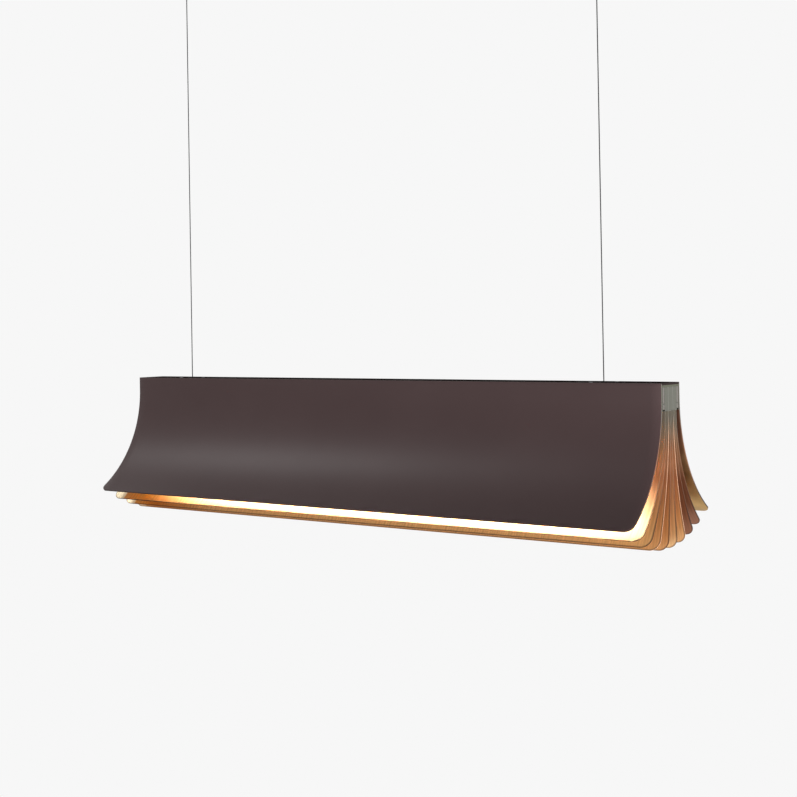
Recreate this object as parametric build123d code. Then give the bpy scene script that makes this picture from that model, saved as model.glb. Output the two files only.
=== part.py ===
# Linear pendant light shaped like an open book hung by its spine.
# Two bent outer sheets and a fan of inner leaves are bolted together at a spine.
# Light strips in the spine shine down between each outer sheet and the leaves.
# Two thin cables carry the lamp, and its current, from ball grippers in a long ceiling canopy.
# Millimetres. The origin is on the ceiling, midway between the cables.
# +X runs along the lamp, -Y is the front and +Z is up.
from build123d import *
import os
from math import cos, radians, sin, sqrt, tan

os.makedirs("parts", exist_ok=True)

# Whole lamp
lamp_length = 900.0
hang_drop = 660.0
cable_inset = 91.0
cable_spacing = lamp_length - 2 * cable_inset
fit_gap = 0.05
loose_gap = 0.3

# Leaves: eight equal bent sheets, each turned further out than the one inside it
leaf_count = 8
leaf_pitch = 4.2
leaf_thickness = 0.8
leaf_drop = 199.0
leaf_fan_step = 14.4
leaf_corner_radius = 14.0
corner_start = 0.1

# Outer sheets
sheet_thickness = 2.0
sheet_straight = 20.0
sheet_bend_radius = 170.0
sheet_bend_angle = 60.0
sheet_corner_radius = 12.0
tape_thickness = 0.5
tape_height = 15.0

# Spine
cap_thickness = 5.0
spine_depth = 34.0
light_slot_width = 5.0
profile_wall = 1.2
profile_web_height = 24.7
diffuser_thickness = 1.5
diffuser_ledge = 0.4
strip_base = 0.3
strip_ridge = 1.0
strip_ridge_width = 3.0
strip_end_margin = 60.0

# Tie bolts through the spine
bolt_radius = 2.0
bolt_head_height = 2.0
bolt_nut_height = 2.2
bolt_nut_flats = 7.0
bolt_pitch = 120.0
bolt_end_margin = 20.0
bolt_end_beyond_nut = 0.5
bolt_socket_flats = 2.5
bolt_socket_depth = 1.2
bolt_hole_clearance = 0.15

# Cable anchors in the spine
cable_radius = 0.75
anchor_length = 40.0
anchor_height = 22.0
anchor_bolt_offset = 12.0
anchor_roof = 3.2
barrel_radius = 4.5
contact_plate_thickness = 1.0
contact_plate_height = 12.0
contact_plate_width = 12.0
end_ball_radius = 2.2
end_neck_radius = 1.2
end_neck_length = 2.0
sway_clear_angle = 13.0
rock_clear_angle = 16.0
notch_end_room = 5.0
lead_radius = 0.6
lead_bend = 2.5
cap_screw_radius = 1.5
cap_screw_head_radius = 2.8
cap_screw_length = 9.0
cap_screw_offset = 13.0
cap_screw_side = 10.0
cap_screw_slot_width = 0.6
cap_screw_slot_depth = 0.5

# Ceiling canopy
canopy_beyond_cable = 41.0
canopy_length = cable_spacing + 2 * canopy_beyond_cable
canopy_width = 60.0
canopy_height = 34.0
canopy_wall = 1.2
canopy_corner = 6.0
canopy_edge = 2.0
plate_width = 46.0
plate_thickness = 1.5
plate_flange = 12.0
plate_end_gap = 8.0
ceiling_screw_spacing = 500.0
ceiling_screw_hole_radius = 2.75
supply_hole_radius = 8.0
supply_hole_x = 200.0

# Driver and mains terminal
driver_length = 210.0
driver_width = 30.0
driver_height = 21.0
driver_offset = 5.0
driver_rounding = 1.5
driver_ear = 10.0
driver_ear_width = 18.0
driver_ear_thickness = 3.0
driver_screw_radius = 1.5
driver_screw_head = 2.8
driver_screw_head_height = 1.8
terminal_length = 30.0
terminal_width = 17.0
terminal_height = 15.0
terminal_gap = 36.0
terminal_chamfer = 2.0
terminal_way_pitch = 5.0
terminal_wire_hole = 1.4
terminal_screw_well = 1.6
terminal_well_depth = 4.0
peg_radius = 1.5
peg_offset = 10.0
mains_lead_radius = 1.1
mains_lead_entry = 4.0

# Hanger tubes that carry the grippers
hanger_radius = 7.0
hanger_wall = 1.2
hanger_below_cover = 9.0
hanger_lip = 1.5
hanger_nut_flats = 19.0
hanger_nut_height = 8.0
collar_radius = 11.0
collar_height = 5.0
collar_rounding = 1.5
collar_pin_hole = 1.2
collar_pin_depth = 1.5
window_height = 9.0
window_width = 4.0

# Ball grippers
head_ball_radius = 5.5
seat_rim_radius = 4.6
lip_hole_radius = 4.9
seat_height = 5.0
neck_radius = 3.0
neck_length = 8.0
shoulder_height = 1.0
spigot_height = 3.0
grip_barrel_radius = 4.5
grip_barrel_length = 20.0
grip_barrel_chamfer = 0.6
chamber_radius = 3.2
chamber_depth = 8.5
taper_length = 8.0
sleeve_radius = 2.0
sleeve_bore_radius = 0.95
grip_ball_radius = 1.0
grip_ball_count = 3
grip_ball_clearance = 0.02
sleeve_top_gap = 0.5
release_gap = 2.5
nipple_radius = 3.2
nipple_height = 5.0
nipple_pivot_depth = 3.0
nipple_rounding = 1.0
nipple_chamfer = 0.4
pivot_gap = 0.2
bell_angle = 14.0
spring_wire = 0.25
spring_radius = 1.5
spring_turns = 4.0
spring_seat_gap = 0.1

# Cable tails inside the canopy
tail_run_depth = 14.0
tail_side = 15.0
tail_entry_near = 4.0
tail_entry_far = 12.0
tail_exit_bend = 5.5
tail_wide_bend = 60.0
tail_turn_bend = 6.0
tail_turn_room = 35.0

# Places that several pieces share, in the lamp's own height, 0 at its top
half_lamp = lamp_length / 2
half_spacing = cable_spacing / 2
leaf_half = leaf_thickness / 2
stack_half = (leaf_count - 1) / 2 * leaf_pitch + leaf_half
profile_out = stack_half + 2 * profile_wall + light_slot_width
sheet_inside = profile_out + tape_thickness
sheet_outside = sheet_inside + sheet_thickness
clamp_height = spine_depth - cap_thickness
chamber_web_top = -profile_web_height
chamber_web_bottom = chamber_web_top - profile_wall
bolt_height = chamber_web_top + fit_gap + bolt_nut_flats / 2
barrel_height = -cap_thickness - anchor_roof - barrel_radius
notch_length = anchor_length + 2 * (contact_plate_thickness + notch_end_room)
lead_height = barrel_height
cutter_reach = 200.0
cut_beyond = 1.0

# Places in the canopy and the grippers, in the whole part's height, 0 at the ceiling
hanger_bottom = -canopy_height - hanger_below_cover
head_centre = hanger_bottom + hanger_lip + seat_height
shoulder_bottom = head_centre - neck_length - shoulder_height
grip_bottom = shoulder_bottom - grip_barrel_length
taper_top = shoulder_bottom - chamber_depth
taper_bottom = taper_top - taper_length
sleeve_top = taper_top - sleeve_top_gap
nipple_top = grip_bottom - release_gap
nipple_bottom = nipple_top - nipple_height
exit_height = nipple_bottom + nipple_pivot_depth
barrel_world_height = barrel_height - hang_drop
terminal_wire_height = -plate_thickness - terminal_height / 2


def save(node, shape):
    export_step(shape, f"parts/{node}.step")


def hang(shape):
    """Put a piece drawn with the lamp's top at height 0 at its real height."""
    return Pos(0, 0, -hang_drop) * shape


def along_lamp(section, length):
    """Draw a cross-section, given across and up, out to both ends of a length."""
    return extrude(Plane.YZ * section, amount=length / 2, both=True)


def bent_section(side, out_face, top, bend_start, radius, angle, thickness):
    """Cross-section of a sheet that hangs straight, then bends outwards on an arc.
    side is -1 at the front, 1 at the back, and out_face is its hollow face's distance from the middle."""

    def on_arc(turn, reach):
        across = out_face + radius - reach * cos(radians(turn))
        return (side * across, bend_start - reach * sin(radians(turn)))

    far = radius + thickness
    in_face = out_face - thickness
    return make_face(
        [
            Line((side * out_face, top), (side * out_face, bend_start)),
            ThreePointArc(on_arc(0, radius), on_arc(angle / 2, radius), on_arc(angle, radius)),
            Line(on_arc(angle, radius), on_arc(angle, far)),
            ThreePointArc(on_arc(angle, far), on_arc(angle / 2, far), on_arc(0, far)),
            Line((side * in_face, bend_start), (side * in_face, top)),
            Line((side * in_face, top), (side * out_face, top)),
        ]
    )


def round_low_corners(sheet, side, out_face, bend_start, radius, turn, thickness, rounding):
    """Round the two free lower corners of a bent sheet, cutting square to its surface at the tip.
    Each round starts just outside its edge, so that it crosses the edge and doesn't only touch it."""
    reach = radius + thickness / 2
    across_tip = side * (out_face + radius - reach * cos(radians(turn)))
    tip_height = bend_start - reach * sin(radians(turn))
    down_y = side * sin(radians(turn))
    down_z = -cos(radians(turn))
    centre = corner_start - rounding
    waste = Pos(corner_start, corner_start) * Rectangle(2 * rounding, 2 * rounding)
    waste -= Pos(centre, centre) * Circle(rounding)
    for end in (-1, 1):
        out = (0, -end * down_z, end * down_y)
        corner = Plane(origin=(end * half_lamp, across_tip, tip_height), x_dir=(end, 0, 0), z_dir=out)
        sheet -= extrude(corner * waste, amount=rounding, both=True)
    return sheet


def bent_sheet(side, out_face, top, bend_start, radius, turn, thickness, rounding):
    """Bent sheet of the lamp's length with its two lower corners rounded."""
    section = bent_section(side, out_face, top, bend_start, radius, turn, thickness)
    sheet = along_lamp(section, lamp_length)
    return round_low_corners(sheet, side, out_face, bend_start, radius, turn, thickness, rounding)


def bolt_places():
    """Tie bolts: an even row between the cable anchors, two in each anchor and one near each end."""
    steps = int((half_spacing - notch_length / 2 - bolt_radius) // bolt_pitch)
    row = [i * bolt_pitch for i in range(-steps, steps + 1)]
    anchors = [s * half_spacing + o for s in (-1, 1) for o in (-anchor_bolt_offset, anchor_bolt_offset)]
    ends = [s * (half_lamp - bolt_end_margin) for s in (-1, 1)]
    return sorted(row + anchors + ends)


def across(x, z, radius, length=cutter_reach):
    """A round bar along Y, for a bolt's hole."""
    return Pos(x, 0, z) * Rot(90, 0, 0) * Cylinder(radius, length)


def bolt_holes():
    hole = bolt_radius + bolt_hole_clearance
    return [across(x, bolt_height, hole) for x in bolt_places()]


def anchor_notches():
    """Pockets in the top edge of the leaves and spacers that make room for the cable anchors."""
    depth = anchor_height + loose_gap
    cutter = Box(notch_length, cutter_reach, 2 * depth)
    return [Pos(s * half_spacing, 0, -cap_thickness) * cutter for s in (-1, 1)]


def hexagon(flats, height, hole):
    prism = extrude(RegularPolygon(flats / 2, 6, major_radius=False), amount=height)
    return prism - Cylinder(hole, 3 * height)


# Lamp: leaves, spacers, profiles, sheets
def leaf(number):
    """One leaf, counted from the front: straight in the spine, then a single arc."""
    place = (number - (leaf_count + 1) / 2) * leaf_pitch
    side = 1 if place > 0 else -1
    turn = leaf_fan_step * abs(number - (leaf_count + 1) / 2)
    arc_length = leaf_drop - clamp_height
    radius = arc_length / radians(turn) - leaf_half
    out_face = abs(place) + leaf_half
    size = (radius, turn, leaf_thickness, leaf_corner_radius)
    sheet = bent_sheet(side, out_face, -cap_thickness, -spine_depth, *size)
    return sheet - bolt_holes() - anchor_notches()


def spacer_bar(number):
    """Flat bar between two leaves, as tall as the clamped part of a leaf."""
    place = (number - leaf_count / 2) * leaf_pitch
    bar = Box(lamp_length, leaf_pitch - leaf_thickness, clamp_height)
    bar = Pos(0, place, -cap_thickness - clamp_height / 2) * bar
    return bar - bolt_holes() - anchor_notches()


def outer_sheet(side):
    size = (sheet_bend_radius, sheet_bend_angle, sheet_thickness, sheet_corner_radius)
    return bent_sheet(side, sheet_outside, 0, -sheet_straight, *size)


def light_profile(side):
    """Extruded H: bolt chamber above the web, light slot and diffuser ledges below it."""
    mid = side * (stack_half + profile_out) / 2
    full = 2 * profile_wall + light_slot_width
    outline = Pos(mid, -cap_thickness - clamp_height / 2) * Rectangle(full, clamp_height)
    upper = chamber_web_top + cap_thickness
    lower_top = chamber_web_bottom
    lower_bottom = -spine_depth + diffuser_ledge
    outline -= Pos(mid, chamber_web_top - upper / 2) * Rectangle(light_slot_width, -upper)
    slot = Rectangle(light_slot_width, lower_top - lower_bottom)
    outline -= Pos(mid, (lower_top + lower_bottom) / 2) * slot
    outline -= Pos(mid, -spine_depth) * Rectangle(light_slot_width - 2 * diffuser_ledge, 3 * diffuser_ledge)
    bar = along_lamp(outline, lamp_length)
    inner_wall = Pos(0, side * (stack_half + profile_wall / 2), 0)
    through = 2 * profile_wall
    for x in bolt_places():
        bar -= inner_wall * across(x, bolt_height, bolt_radius + bolt_hole_clearance, through)
    for x in lead_places():
        bar -= inner_wall * across(x, lead_height, 2 * lead_radius, through)
        bar -= Pos(x, mid, chamber_web_top) * Cylinder(2 * lead_radius, 3 * profile_wall)
    return bar


def light_strip(side):
    """Flexible light strip: a thin carrier with one even ridge of light-giving resin."""
    mid = side * (stack_half + profile_out) / 2
    base = Rectangle(light_slot_width - 2 * loose_gap, strip_base)
    section = Pos(mid, chamber_web_bottom - strip_base / 2) * base
    ridge = Pos(0, strip_ridge / 2) * Circle(strip_ridge_width / 2)
    ridge &= Pos(0, -strip_ridge / 2) * Rectangle(strip_ridge_width, strip_ridge)
    section += Pos(mid, chamber_web_bottom - strip_base) * ridge
    return along_lamp(section, lamp_length - 2 * strip_end_margin)


def diffuser(side):
    mid = side * (stack_half + profile_out) / 2
    height = -spine_depth + diffuser_ledge + diffuser_thickness / 2
    section = Pos(mid, height) * Rectangle(light_slot_width - 2 * fit_gap, diffuser_thickness)
    return along_lamp(section, lamp_length - 2 * strip_end_margin)


def bonding_tapes():
    strip = Box(lamp_length - 2 * loose_gap, tape_thickness, tape_height)
    low = -(sheet_straight + cap_thickness) / 2
    middle = profile_out + tape_thickness / 2
    return Compound(children=[Pos(0, s * middle, low) * strip for s in (-1, 1)])


def spine_cap():
    """Flat bar that closes the top of the spine, with a flared hole for each cable."""
    width = 2 * (sheet_inside - fit_gap)
    bar = Pos(0, 0, -cap_thickness / 2) * Box(lamp_length, width, cap_thickness)
    for s in (-1, 1):
        bar -= Pos(s * half_spacing, 0, 0) * cable_mouth()
        for spot in cap_screw_places():
            bar -= Pos(s * half_spacing, 0, 0) * spot * screw_hole()
    return bar


def cap_screw_places():
    """Two screws to each anchor block, at opposite corners, clear of its barrel."""
    return [Pos(o * cap_screw_offset, o * cap_screw_side, 0) for o in (-1, 1)]


def cable_mouth():
    """Cone above the cross barrel that leaves room for the cable to swing."""
    reach = -barrel_height + cut_beyond
    wide = sleeve_bore_radius + reach * tan(radians(rock_clear_angle))
    return Pos(0, 0, barrel_height + reach / 2) * Cone(sleeve_bore_radius, wide, reach)


def screw_hole():
    shank = Cylinder(cap_screw_radius + bolt_hole_clearance, 3 * cap_thickness)
    sink = cap_screw_head_radius - cap_screw_radius
    return shank + Pos(0, 0, -sink / 2) * Cone(cap_screw_radius, cap_screw_head_radius, sink)


def cap_screws():
    """Countersunk screws down into the anchor blocks, their heads flush with the cap."""
    sink = cap_screw_head_radius - cap_screw_radius
    head = Pos(0, 0, -sink / 2) * Cone(cap_screw_radius - fit_gap, cap_screw_head_radius - fit_gap, sink)
    shank = Pos(0, 0, -cap_screw_length / 2) * Cylinder(cap_screw_radius - fit_gap, cap_screw_length)
    screw = head + shank - Box(cap_screw_slot_width, cap_screw_head_radius, 2 * cap_screw_slot_depth)
    blocks = [Pos(s * half_spacing, 0, 0) for s in (-1, 1)]
    return Compound(children=[block * spot * screw for block in blocks for spot in cap_screw_places()])


def tie_bolts():
    """Low-headed bolts from the front bolt chamber through to the back one."""
    head_face = stack_half + profile_wall
    length = 2 * head_face + bolt_nut_height + bolt_end_beyond_nut
    shank = Pos(0, 0, length / 2) * Cylinder(bolt_radius, length)
    head = Pos(0, 0, -bolt_head_height / 2) * Cylinder(bolt_nut_flats / 2, bolt_head_height)
    socket = RegularPolygon(bolt_socket_flats / 2, 6, major_radius=False)
    socket = Pos(0, 0, -bolt_head_height) * extrude(socket, amount=bolt_socket_depth)
    bolt = Rot(-90, 0, 0) * (head + shank - socket)
    return Compound(children=[Pos(x, -head_face, bolt_height) * bolt for x in bolt_places()])


def tie_nuts():
    """Thin hexagon nuts, a flat of each resting on the web so that it can't turn."""
    nut = Rot(-90, 0, 0) * hexagon(bolt_nut_flats, bolt_nut_height, bolt_radius + fit_gap)
    face = stack_half + profile_wall
    return Compound(children=[Pos(x, face, bolt_height) * nut for x in bolt_places()])


# Lamp: cable anchors
def anchor_blocks():
    """Insulating blocks across the spine, each bored for the barrel that holds a cable."""
    middle = -cap_thickness - anchor_height / 2
    block = Pos(0, 0, middle) * Box(anchor_length, 2 * stack_half, anchor_height)
    block -= Pos(0, 0, barrel_height) * Rot(0, 90, 0) * Cylinder(barrel_radius + fit_gap, 2 * anchor_length)
    block -= cable_mouth()
    for o in (-anchor_bolt_offset, anchor_bolt_offset):
        block -= across(o, bolt_height, bolt_radius + bolt_hole_clearance)
    for spot in cap_screw_places():
        block -= spot * Cylinder(cap_screw_radius, 2 * cap_screw_length + 2 * loose_gap)
    return Compound(children=[Pos(s * half_spacing, 0, 0) * block for s in (-1, 1)])


def cross_barrels():
    """Brass bars that turn in the anchor blocks, each with a seat for the ball on its cable's end."""
    bar = Rot(0, 90, 0) * Cylinder(barrel_radius, anchor_length)
    bar -= Sphere(end_ball_radius + fit_gap)
    bar -= Pos(0, 0, -barrel_radius) * Cylinder(end_ball_radius + fit_gap, 2 * barrel_radius)
    rise = barrel_radius + loose_gap
    spread = end_neck_radius + 2 * fit_gap + rise * tan(radians(sway_clear_angle))
    narrow = end_neck_radius + 2 * fit_gap
    outline = Polyline((-narrow, 0), (narrow, 0), (spread, rise), (-spread, rise), close=True)
    slot = Plane.XZ * make_face(outline)
    bar -= extrude(slot, amount=narrow, both=True)
    return Compound(children=[Pos(s * half_spacing, 0, barrel_height) * bar for s in (-1, 1)])


def cable_end(side):
    """Ball and neck pressed on the lower end of a cable."""
    piece = Sphere(end_ball_radius)
    piece += Pos(0, 0, (end_ball_radius + end_neck_length) / 2) * Cylinder(
        end_neck_radius, end_ball_radius + end_neck_length
    )
    piece -= Pos(0, 0, end_ball_radius + end_neck_length) * Cylinder(
        cable_radius + fit_gap, 2 * (end_ball_radius + end_neck_length)
    )
    return Pos(side * half_spacing, 0, barrel_height) * piece


def contact_plates():
    """Brass plates that close each bore and rub on the barrel's end to feed the current out."""
    plate = Box(contact_plate_thickness, contact_plate_width, contact_plate_height)
    reach = (anchor_length + contact_plate_thickness) / 2
    spots = [s * half_spacing + o for s in (-1, 1) for o in (-reach, reach)]
    return Compound(children=[Pos(x, 0, barrel_height) * plate for x in spots])


def lead_places():
    """The feed leads lie on the inboard contact plates."""
    reach = half_spacing - anchor_length / 2 - contact_plate_thickness - lead_radius
    return [-reach, reach]


def feed_leads():
    """One wire from each anchor to both light strips, down through the webs of the profiles."""
    mid = (stack_half + profile_out) / 2
    low = chamber_web_bottom
    leads = []
    for x in lead_places():
        route = [(x, -mid, low), (x, -mid, lead_height), (x, mid, lead_height), (x, mid, low)]
        path = FilletPolyline(route, radius=lead_bend)
        start = Plane(origin=path @ 0, z_dir=path % 0)
        leads.append(sweep(start * Circle(lead_radius), path=path))
    return Compound(children=leads)


# Cables
def suspension_cable(side):
    """Free run of a cable, from the gripper's mouth to the ball on its lower end."""
    low = barrel_world_height + fit_gap
    length = exit_height - low
    return Pos(side * half_spacing, 0, low + length / 2) * Cylinder(cable_radius, length)


def gripped_cables():
    """The stretch of each cable that its gripper holds."""
    low = exit_height + pivot_gap
    high = head_centre + head_ball_radius
    rod = Pos(0, 0, (low + high) / 2) * Cylinder(cable_radius, high - low)
    return Compound(children=[Pos(s * half_spacing, 0, 0) * rod for s in (-1, 1)])


def tail_path(side):
    """Route of a cable's upper end, out of the hanger tube's window and along to the driver."""
    x = side * half_spacing
    start = head_centre + head_ball_radius + loose_gap
    face = -driver_length / 2
    route = [(x, 0, start), (x, 0, -tail_run_depth)]
    if side < 0:
        inlet = driver_offset + tail_entry_near
        route += [(face - 90.0, 0, -tail_run_depth), (face - 30.0, inlet, -tail_run_depth)]
        bends = [tail_exit_bend, tail_wide_bend, tail_wide_bend]
    else:
        inlet = driver_offset - tail_entry_far
        back = face - tail_turn_room
        route += [(x - 40.0, 0, -tail_run_depth), (x - 120.0, -tail_side, -tail_run_depth)]
        route += [(back, -tail_side, -tail_run_depth), (back, inlet + 8.0, -tail_run_depth)]
        route += [(face - 20.0, inlet, -tail_run_depth)]
        bends = [tail_exit_bend, tail_wide_bend, tail_wide_bend]
        bends += [tail_turn_bend, tail_turn_bend - 1.0, tail_turn_bend]
    return FilletPolyline(route + [(face, inlet, -tail_run_depth)], radius=bends)


def cable_tail(side):
    path = tail_path(side)
    start = Plane(origin=path @ 0, z_dir=path % 0)
    return sweep(start * Circle(cable_radius), path=path)


# Grippers
def taper_radius(height):
    """Radius of the gripping cone at a height inside the barrel."""
    share = (height - taper_bottom) / taper_length
    return sleeve_radius + fit_gap + share * (chamber_radius - sleeve_radius - fit_gap)


def grip_ball_place():
    """Height and distance from the cable at which the balls touch cable and cone."""
    slope = (chamber_radius - sleeve_radius - fit_gap) / taper_length
    out = cable_radius + grip_ball_radius + grip_ball_clearance
    wall = out + (grip_ball_radius + grip_ball_clearance) * sqrt(1 + slope * slope)
    return taper_bottom + (wall - sleeve_radius - fit_gap) / slope, out


def gripper_head(side):
    """Ball that hangs in the seat, neck, shoulder and the spigot screwed into the barrel."""
    piece = Pos(0, 0, head_centre) * Sphere(head_ball_radius)
    piece += Pos(0, 0, head_centre - neck_length / 2) * Cylinder(neck_radius, neck_length)
    piece += Pos(0, 0, shoulder_bottom + shoulder_height / 2) * Cylinder(grip_barrel_radius, shoulder_height)
    spigot = Cylinder(chamber_radius - fit_gap, spigot_height)
    piece += Pos(0, 0, shoulder_bottom - spigot_height / 2) * spigot
    piece -= Pos(0, 0, head_centre) * Cylinder(sleeve_bore_radius, 4 * neck_length)
    return Pos(side * half_spacing, 0, 0) * piece


def gripper_barrel(side):
    """Barrel with a spring chamber above and a cone that wedges the balls on the cable."""
    middle = (shoulder_bottom + grip_bottom) / 2
    body = Cylinder(grip_barrel_radius, grip_barrel_length)
    body = chamfer(body.edges().group_by(Axis.Z)[0], grip_barrel_chamfer)
    piece = Pos(0, 0, middle) * body
    piece -= Pos(0, 0, shoulder_bottom - chamber_depth / 2) * Cylinder(chamber_radius, chamber_depth)
    cone = Cone(sleeve_radius + fit_gap, chamber_radius, taper_length)
    piece -= Pos(0, 0, (taper_top + taper_bottom) / 2) * cone
    bore_length = 2 * (taper_bottom - grip_bottom + fit_gap)
    piece -= Pos(0, 0, grip_bottom) * Cylinder(sleeve_radius + fit_gap, bore_length)
    return Pos(side * half_spacing, 0, 0) * piece


def grip_balls(side):
    height, out = grip_ball_place()
    turns = [360 / grip_ball_count * i for i in range(grip_ball_count)]
    balls = [Rot(0, 0, turn) * Pos(out, 0, height) * Sphere(grip_ball_radius) for turn in turns]
    return Compound(children=[Pos(side * half_spacing, 0, 0) * ball for ball in balls])


def release_sleeve(side):
    """Sleeve that cages the balls; pushing its nipple up lifts them off the cone."""
    length = sleeve_top - nipple_top
    piece = Pos(0, 0, (sleeve_top + nipple_top) / 2) * Cylinder(sleeve_radius, length)
    nipple = Cylinder(nipple_radius, nipple_height)
    nipple = fillet(nipple.edges().group_by(Axis.Z)[0], nipple_rounding)
    nipple = chamfer(nipple.edges().group_by(Axis.Z)[-1], nipple_chamfer)
    piece += Pos(0, 0, (nipple_top + nipple_bottom) / 2) * nipple
    bore = Cylinder(sleeve_bore_radius, 2 * (length + nipple_height))
    piece -= Pos(0, 0, (sleeve_top + nipple_bottom) / 2) * bore
    reach = nipple_pivot_depth + pivot_gap
    mouth = sleeve_bore_radius + reach * tan(radians(bell_angle))
    piece -= Pos(0, 0, nipple_bottom + reach / 2) * Cone(mouth, sleeve_bore_radius, reach)
    height, out = grip_ball_place()
    window = Rot(0, 90, 0) * Cylinder(grip_ball_radius + fit_gap, 2 * sleeve_radius)
    for i in range(grip_ball_count):
        piece -= Rot(0, 0, 360 / grip_ball_count * i) * Pos(sleeve_radius, 0, height) * window
    return Pos(side * half_spacing, 0, 0) * piece


def sleeve_spring(side):
    """Small compression spring that keeps the sleeve and its balls down."""
    high = shoulder_bottom - spigot_height - spring_seat_gap
    low = sleeve_top + spring_seat_gap
    rise = high - low - 2 * spring_wire
    helix = Helix(pitch=rise / spring_turns, height=rise, radius=spring_radius)
    start = Plane(origin=helix @ 0, z_dir=helix % 0)
    coil = sweep(start * Circle(spring_wire), path=helix, is_frenet=True)
    return Pos(side * half_spacing, 0, low + spring_wire) * coil


# Ceiling: hanger tubes, canopy, driver
def hanger_tube(side):
    """Threaded tube that carries a gripper, with a lip below and a window for the cable's tail."""
    top = -plate_thickness - loose_gap
    length = top - hanger_bottom
    bore = hanger_radius - hanger_wall
    piece = Pos(0, 0, (top + hanger_bottom) / 2) * Cylinder(hanger_radius, length)
    piece -= Pos(0, 0, top) * Cylinder(bore, 2 * (length - hanger_lip))
    piece -= Pos(0, 0, hanger_bottom) * Cylinder(lip_hole_radius, 4 * hanger_lip)
    window = Box(2 * hanger_radius, window_width, window_height)
    piece -= Pos(-side * hanger_radius, 0, -tail_run_depth) * window
    return Pos(side * half_spacing, 0, 0) * piece


def ball_seats():
    """Nylon rings in the hanger tubes that carry the gripper balls and keep the current off the tube."""
    low = hanger_bottom + hanger_lip
    ring = Cylinder(hanger_radius - hanger_wall - fit_gap, head_centre - low)
    ring = Pos(0, 0, (low + head_centre) / 2) * ring
    ring -= Pos(0, 0, head_centre) * Sphere(head_ball_radius + fit_gap)
    ring -= Pos(0, 0, low) * Cylinder(seat_rim_radius, seat_height)
    return Compound(children=[Pos(s * half_spacing, 0, 0) * ring for s in (-1, 1)])


def hanger_nuts():
    """Hexagon nuts welded under the ceiling plate."""
    nut = hexagon(hanger_nut_flats, hanger_nut_height, hanger_radius + fit_gap)
    low = -plate_thickness - hanger_nut_height
    return Compound(children=[Pos(s * half_spacing, 0, low) * nut for s in (-1, 1)])


def collar_nuts():
    """Round nuts on the hanger tubes that hold the canopy cover up."""
    ring = Cylinder(collar_radius, collar_height)
    ring = fillet(ring.edges().group_by(Axis.Z)[0], collar_rounding)
    ring -= Cylinder(hanger_radius + fit_gap, 2 * collar_height)
    pin_hole = Pos(collar_radius, 0, 0) * Rot(0, 90, 0) * Cylinder(collar_pin_hole, 2 * collar_pin_depth)
    for turn in range(0, 360, 90):
        ring -= Rot(0, 0, turn + 45) * pin_hole
    low = -canopy_height - collar_height / 2
    return Compound(children=[Pos(s * half_spacing, 0, low) * ring for s in (-1, 1)])


def ceiling_plate():
    """Folded steel channel screwed to the ceiling; everything in the canopy hangs from it."""
    length = canopy_length - 2 * (canopy_wall + plate_end_gap)
    piece = Pos(0, 0, -plate_thickness / 2) * Box(length, plate_width, plate_thickness)
    flange = Box(length, plate_thickness, plate_flange)
    for s in (-1, 1):
        piece += Pos(0, s * (plate_width - plate_thickness) / 2, -plate_flange / 2) * flange
    through = 4 * plate_thickness
    for s in (-1, 1):
        piece -= Pos(s * ceiling_screw_spacing / 2, 0, 0) * Cylinder(ceiling_screw_hole_radius, through)
    piece -= Pos(supply_hole_x, 0, 0) * Cylinder(supply_hole_radius, through)
    for x in driver_screw_places():
        piece -= Pos(x, driver_offset, 0) * Cylinder(driver_screw_radius, through)
    for spot in terminal_pegs():
        piece -= spot * Cylinder(peg_radius + fit_gap, through)
    return piece


def canopy_cover():
    """Long shallow box, open at the ceiling, with a hole for each hanger tube."""
    box = Box(canopy_length, canopy_width, canopy_height)
    box = fillet(box.edges().filter_by(Axis.Z), canopy_corner)
    box = fillet(box.edges().group_by(Axis.Z)[0], canopy_edge)
    inner_length = canopy_length - 2 * canopy_wall
    inner = Box(inner_length, canopy_width - 2 * canopy_wall, canopy_height)
    inner = fillet(inner.edges().filter_by(Axis.Z), canopy_corner - canopy_wall)
    shell = box - Pos(0, 0, canopy_wall) * inner
    shell = Pos(0, 0, -canopy_height / 2) * shell
    hole = Cylinder(hanger_radius + loose_gap, 4 * canopy_wall)
    for s in (-1, 1):
        shell -= Pos(s * half_spacing, 0, -canopy_height) * hole
    return shell


def driver_screw_places():
    reach = driver_length / 2 + driver_ear / 2
    return [-reach, reach]


def led_driver():
    """Slim driver with a fixing ear at each end and its cable entries in the end faces."""
    top = -plate_thickness
    body = Box(driver_length, driver_width, driver_height)
    body = fillet(body.edges().filter_by(Axis.X), driver_rounding)
    piece = Pos(0, 0, top - driver_height / 2) * body
    ear = Box(driver_length + 2 * driver_ear, driver_ear_width, driver_ear_thickness)
    piece += Pos(0, 0, top - driver_ear_thickness / 2) * ear
    hole = Cylinder(driver_screw_radius + bolt_hole_clearance, 4 * driver_ear_thickness)
    for x in driver_screw_places():
        piece -= Pos(x, 0, top) * hole
    return Pos(0, driver_offset, 0) * piece


def driver_screws():
    """Pan-head screws up through the driver's ears into the ceiling plate."""
    low = -plate_thickness - driver_ear_thickness
    tall = driver_screw_head_height
    head = Pos(0, 0, low - tall / 2) * Cylinder(driver_screw_head, tall)
    head = fillet(head.edges().group_by(Axis.Z)[0], tall / 2)
    length = -low - loose_gap
    shank = Pos(0, 0, low + length / 2) * Cylinder(driver_screw_radius - fit_gap, length)
    screw = head + shank - Pos(0, 0, low - tall) * Box(2 * driver_screw_radius, tall / 3, tall)
    return Compound(children=[Pos(x, driver_offset, 0) * screw for x in driver_screw_places()])


def terminal_pegs():
    """Places of the two pegs that snap the terminal block into the ceiling plate."""
    x = driver_length / 2 + terminal_gap + terminal_length / 2
    return [Pos(x + o, 0, 0) for o in (-peg_offset, peg_offset)]


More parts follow.
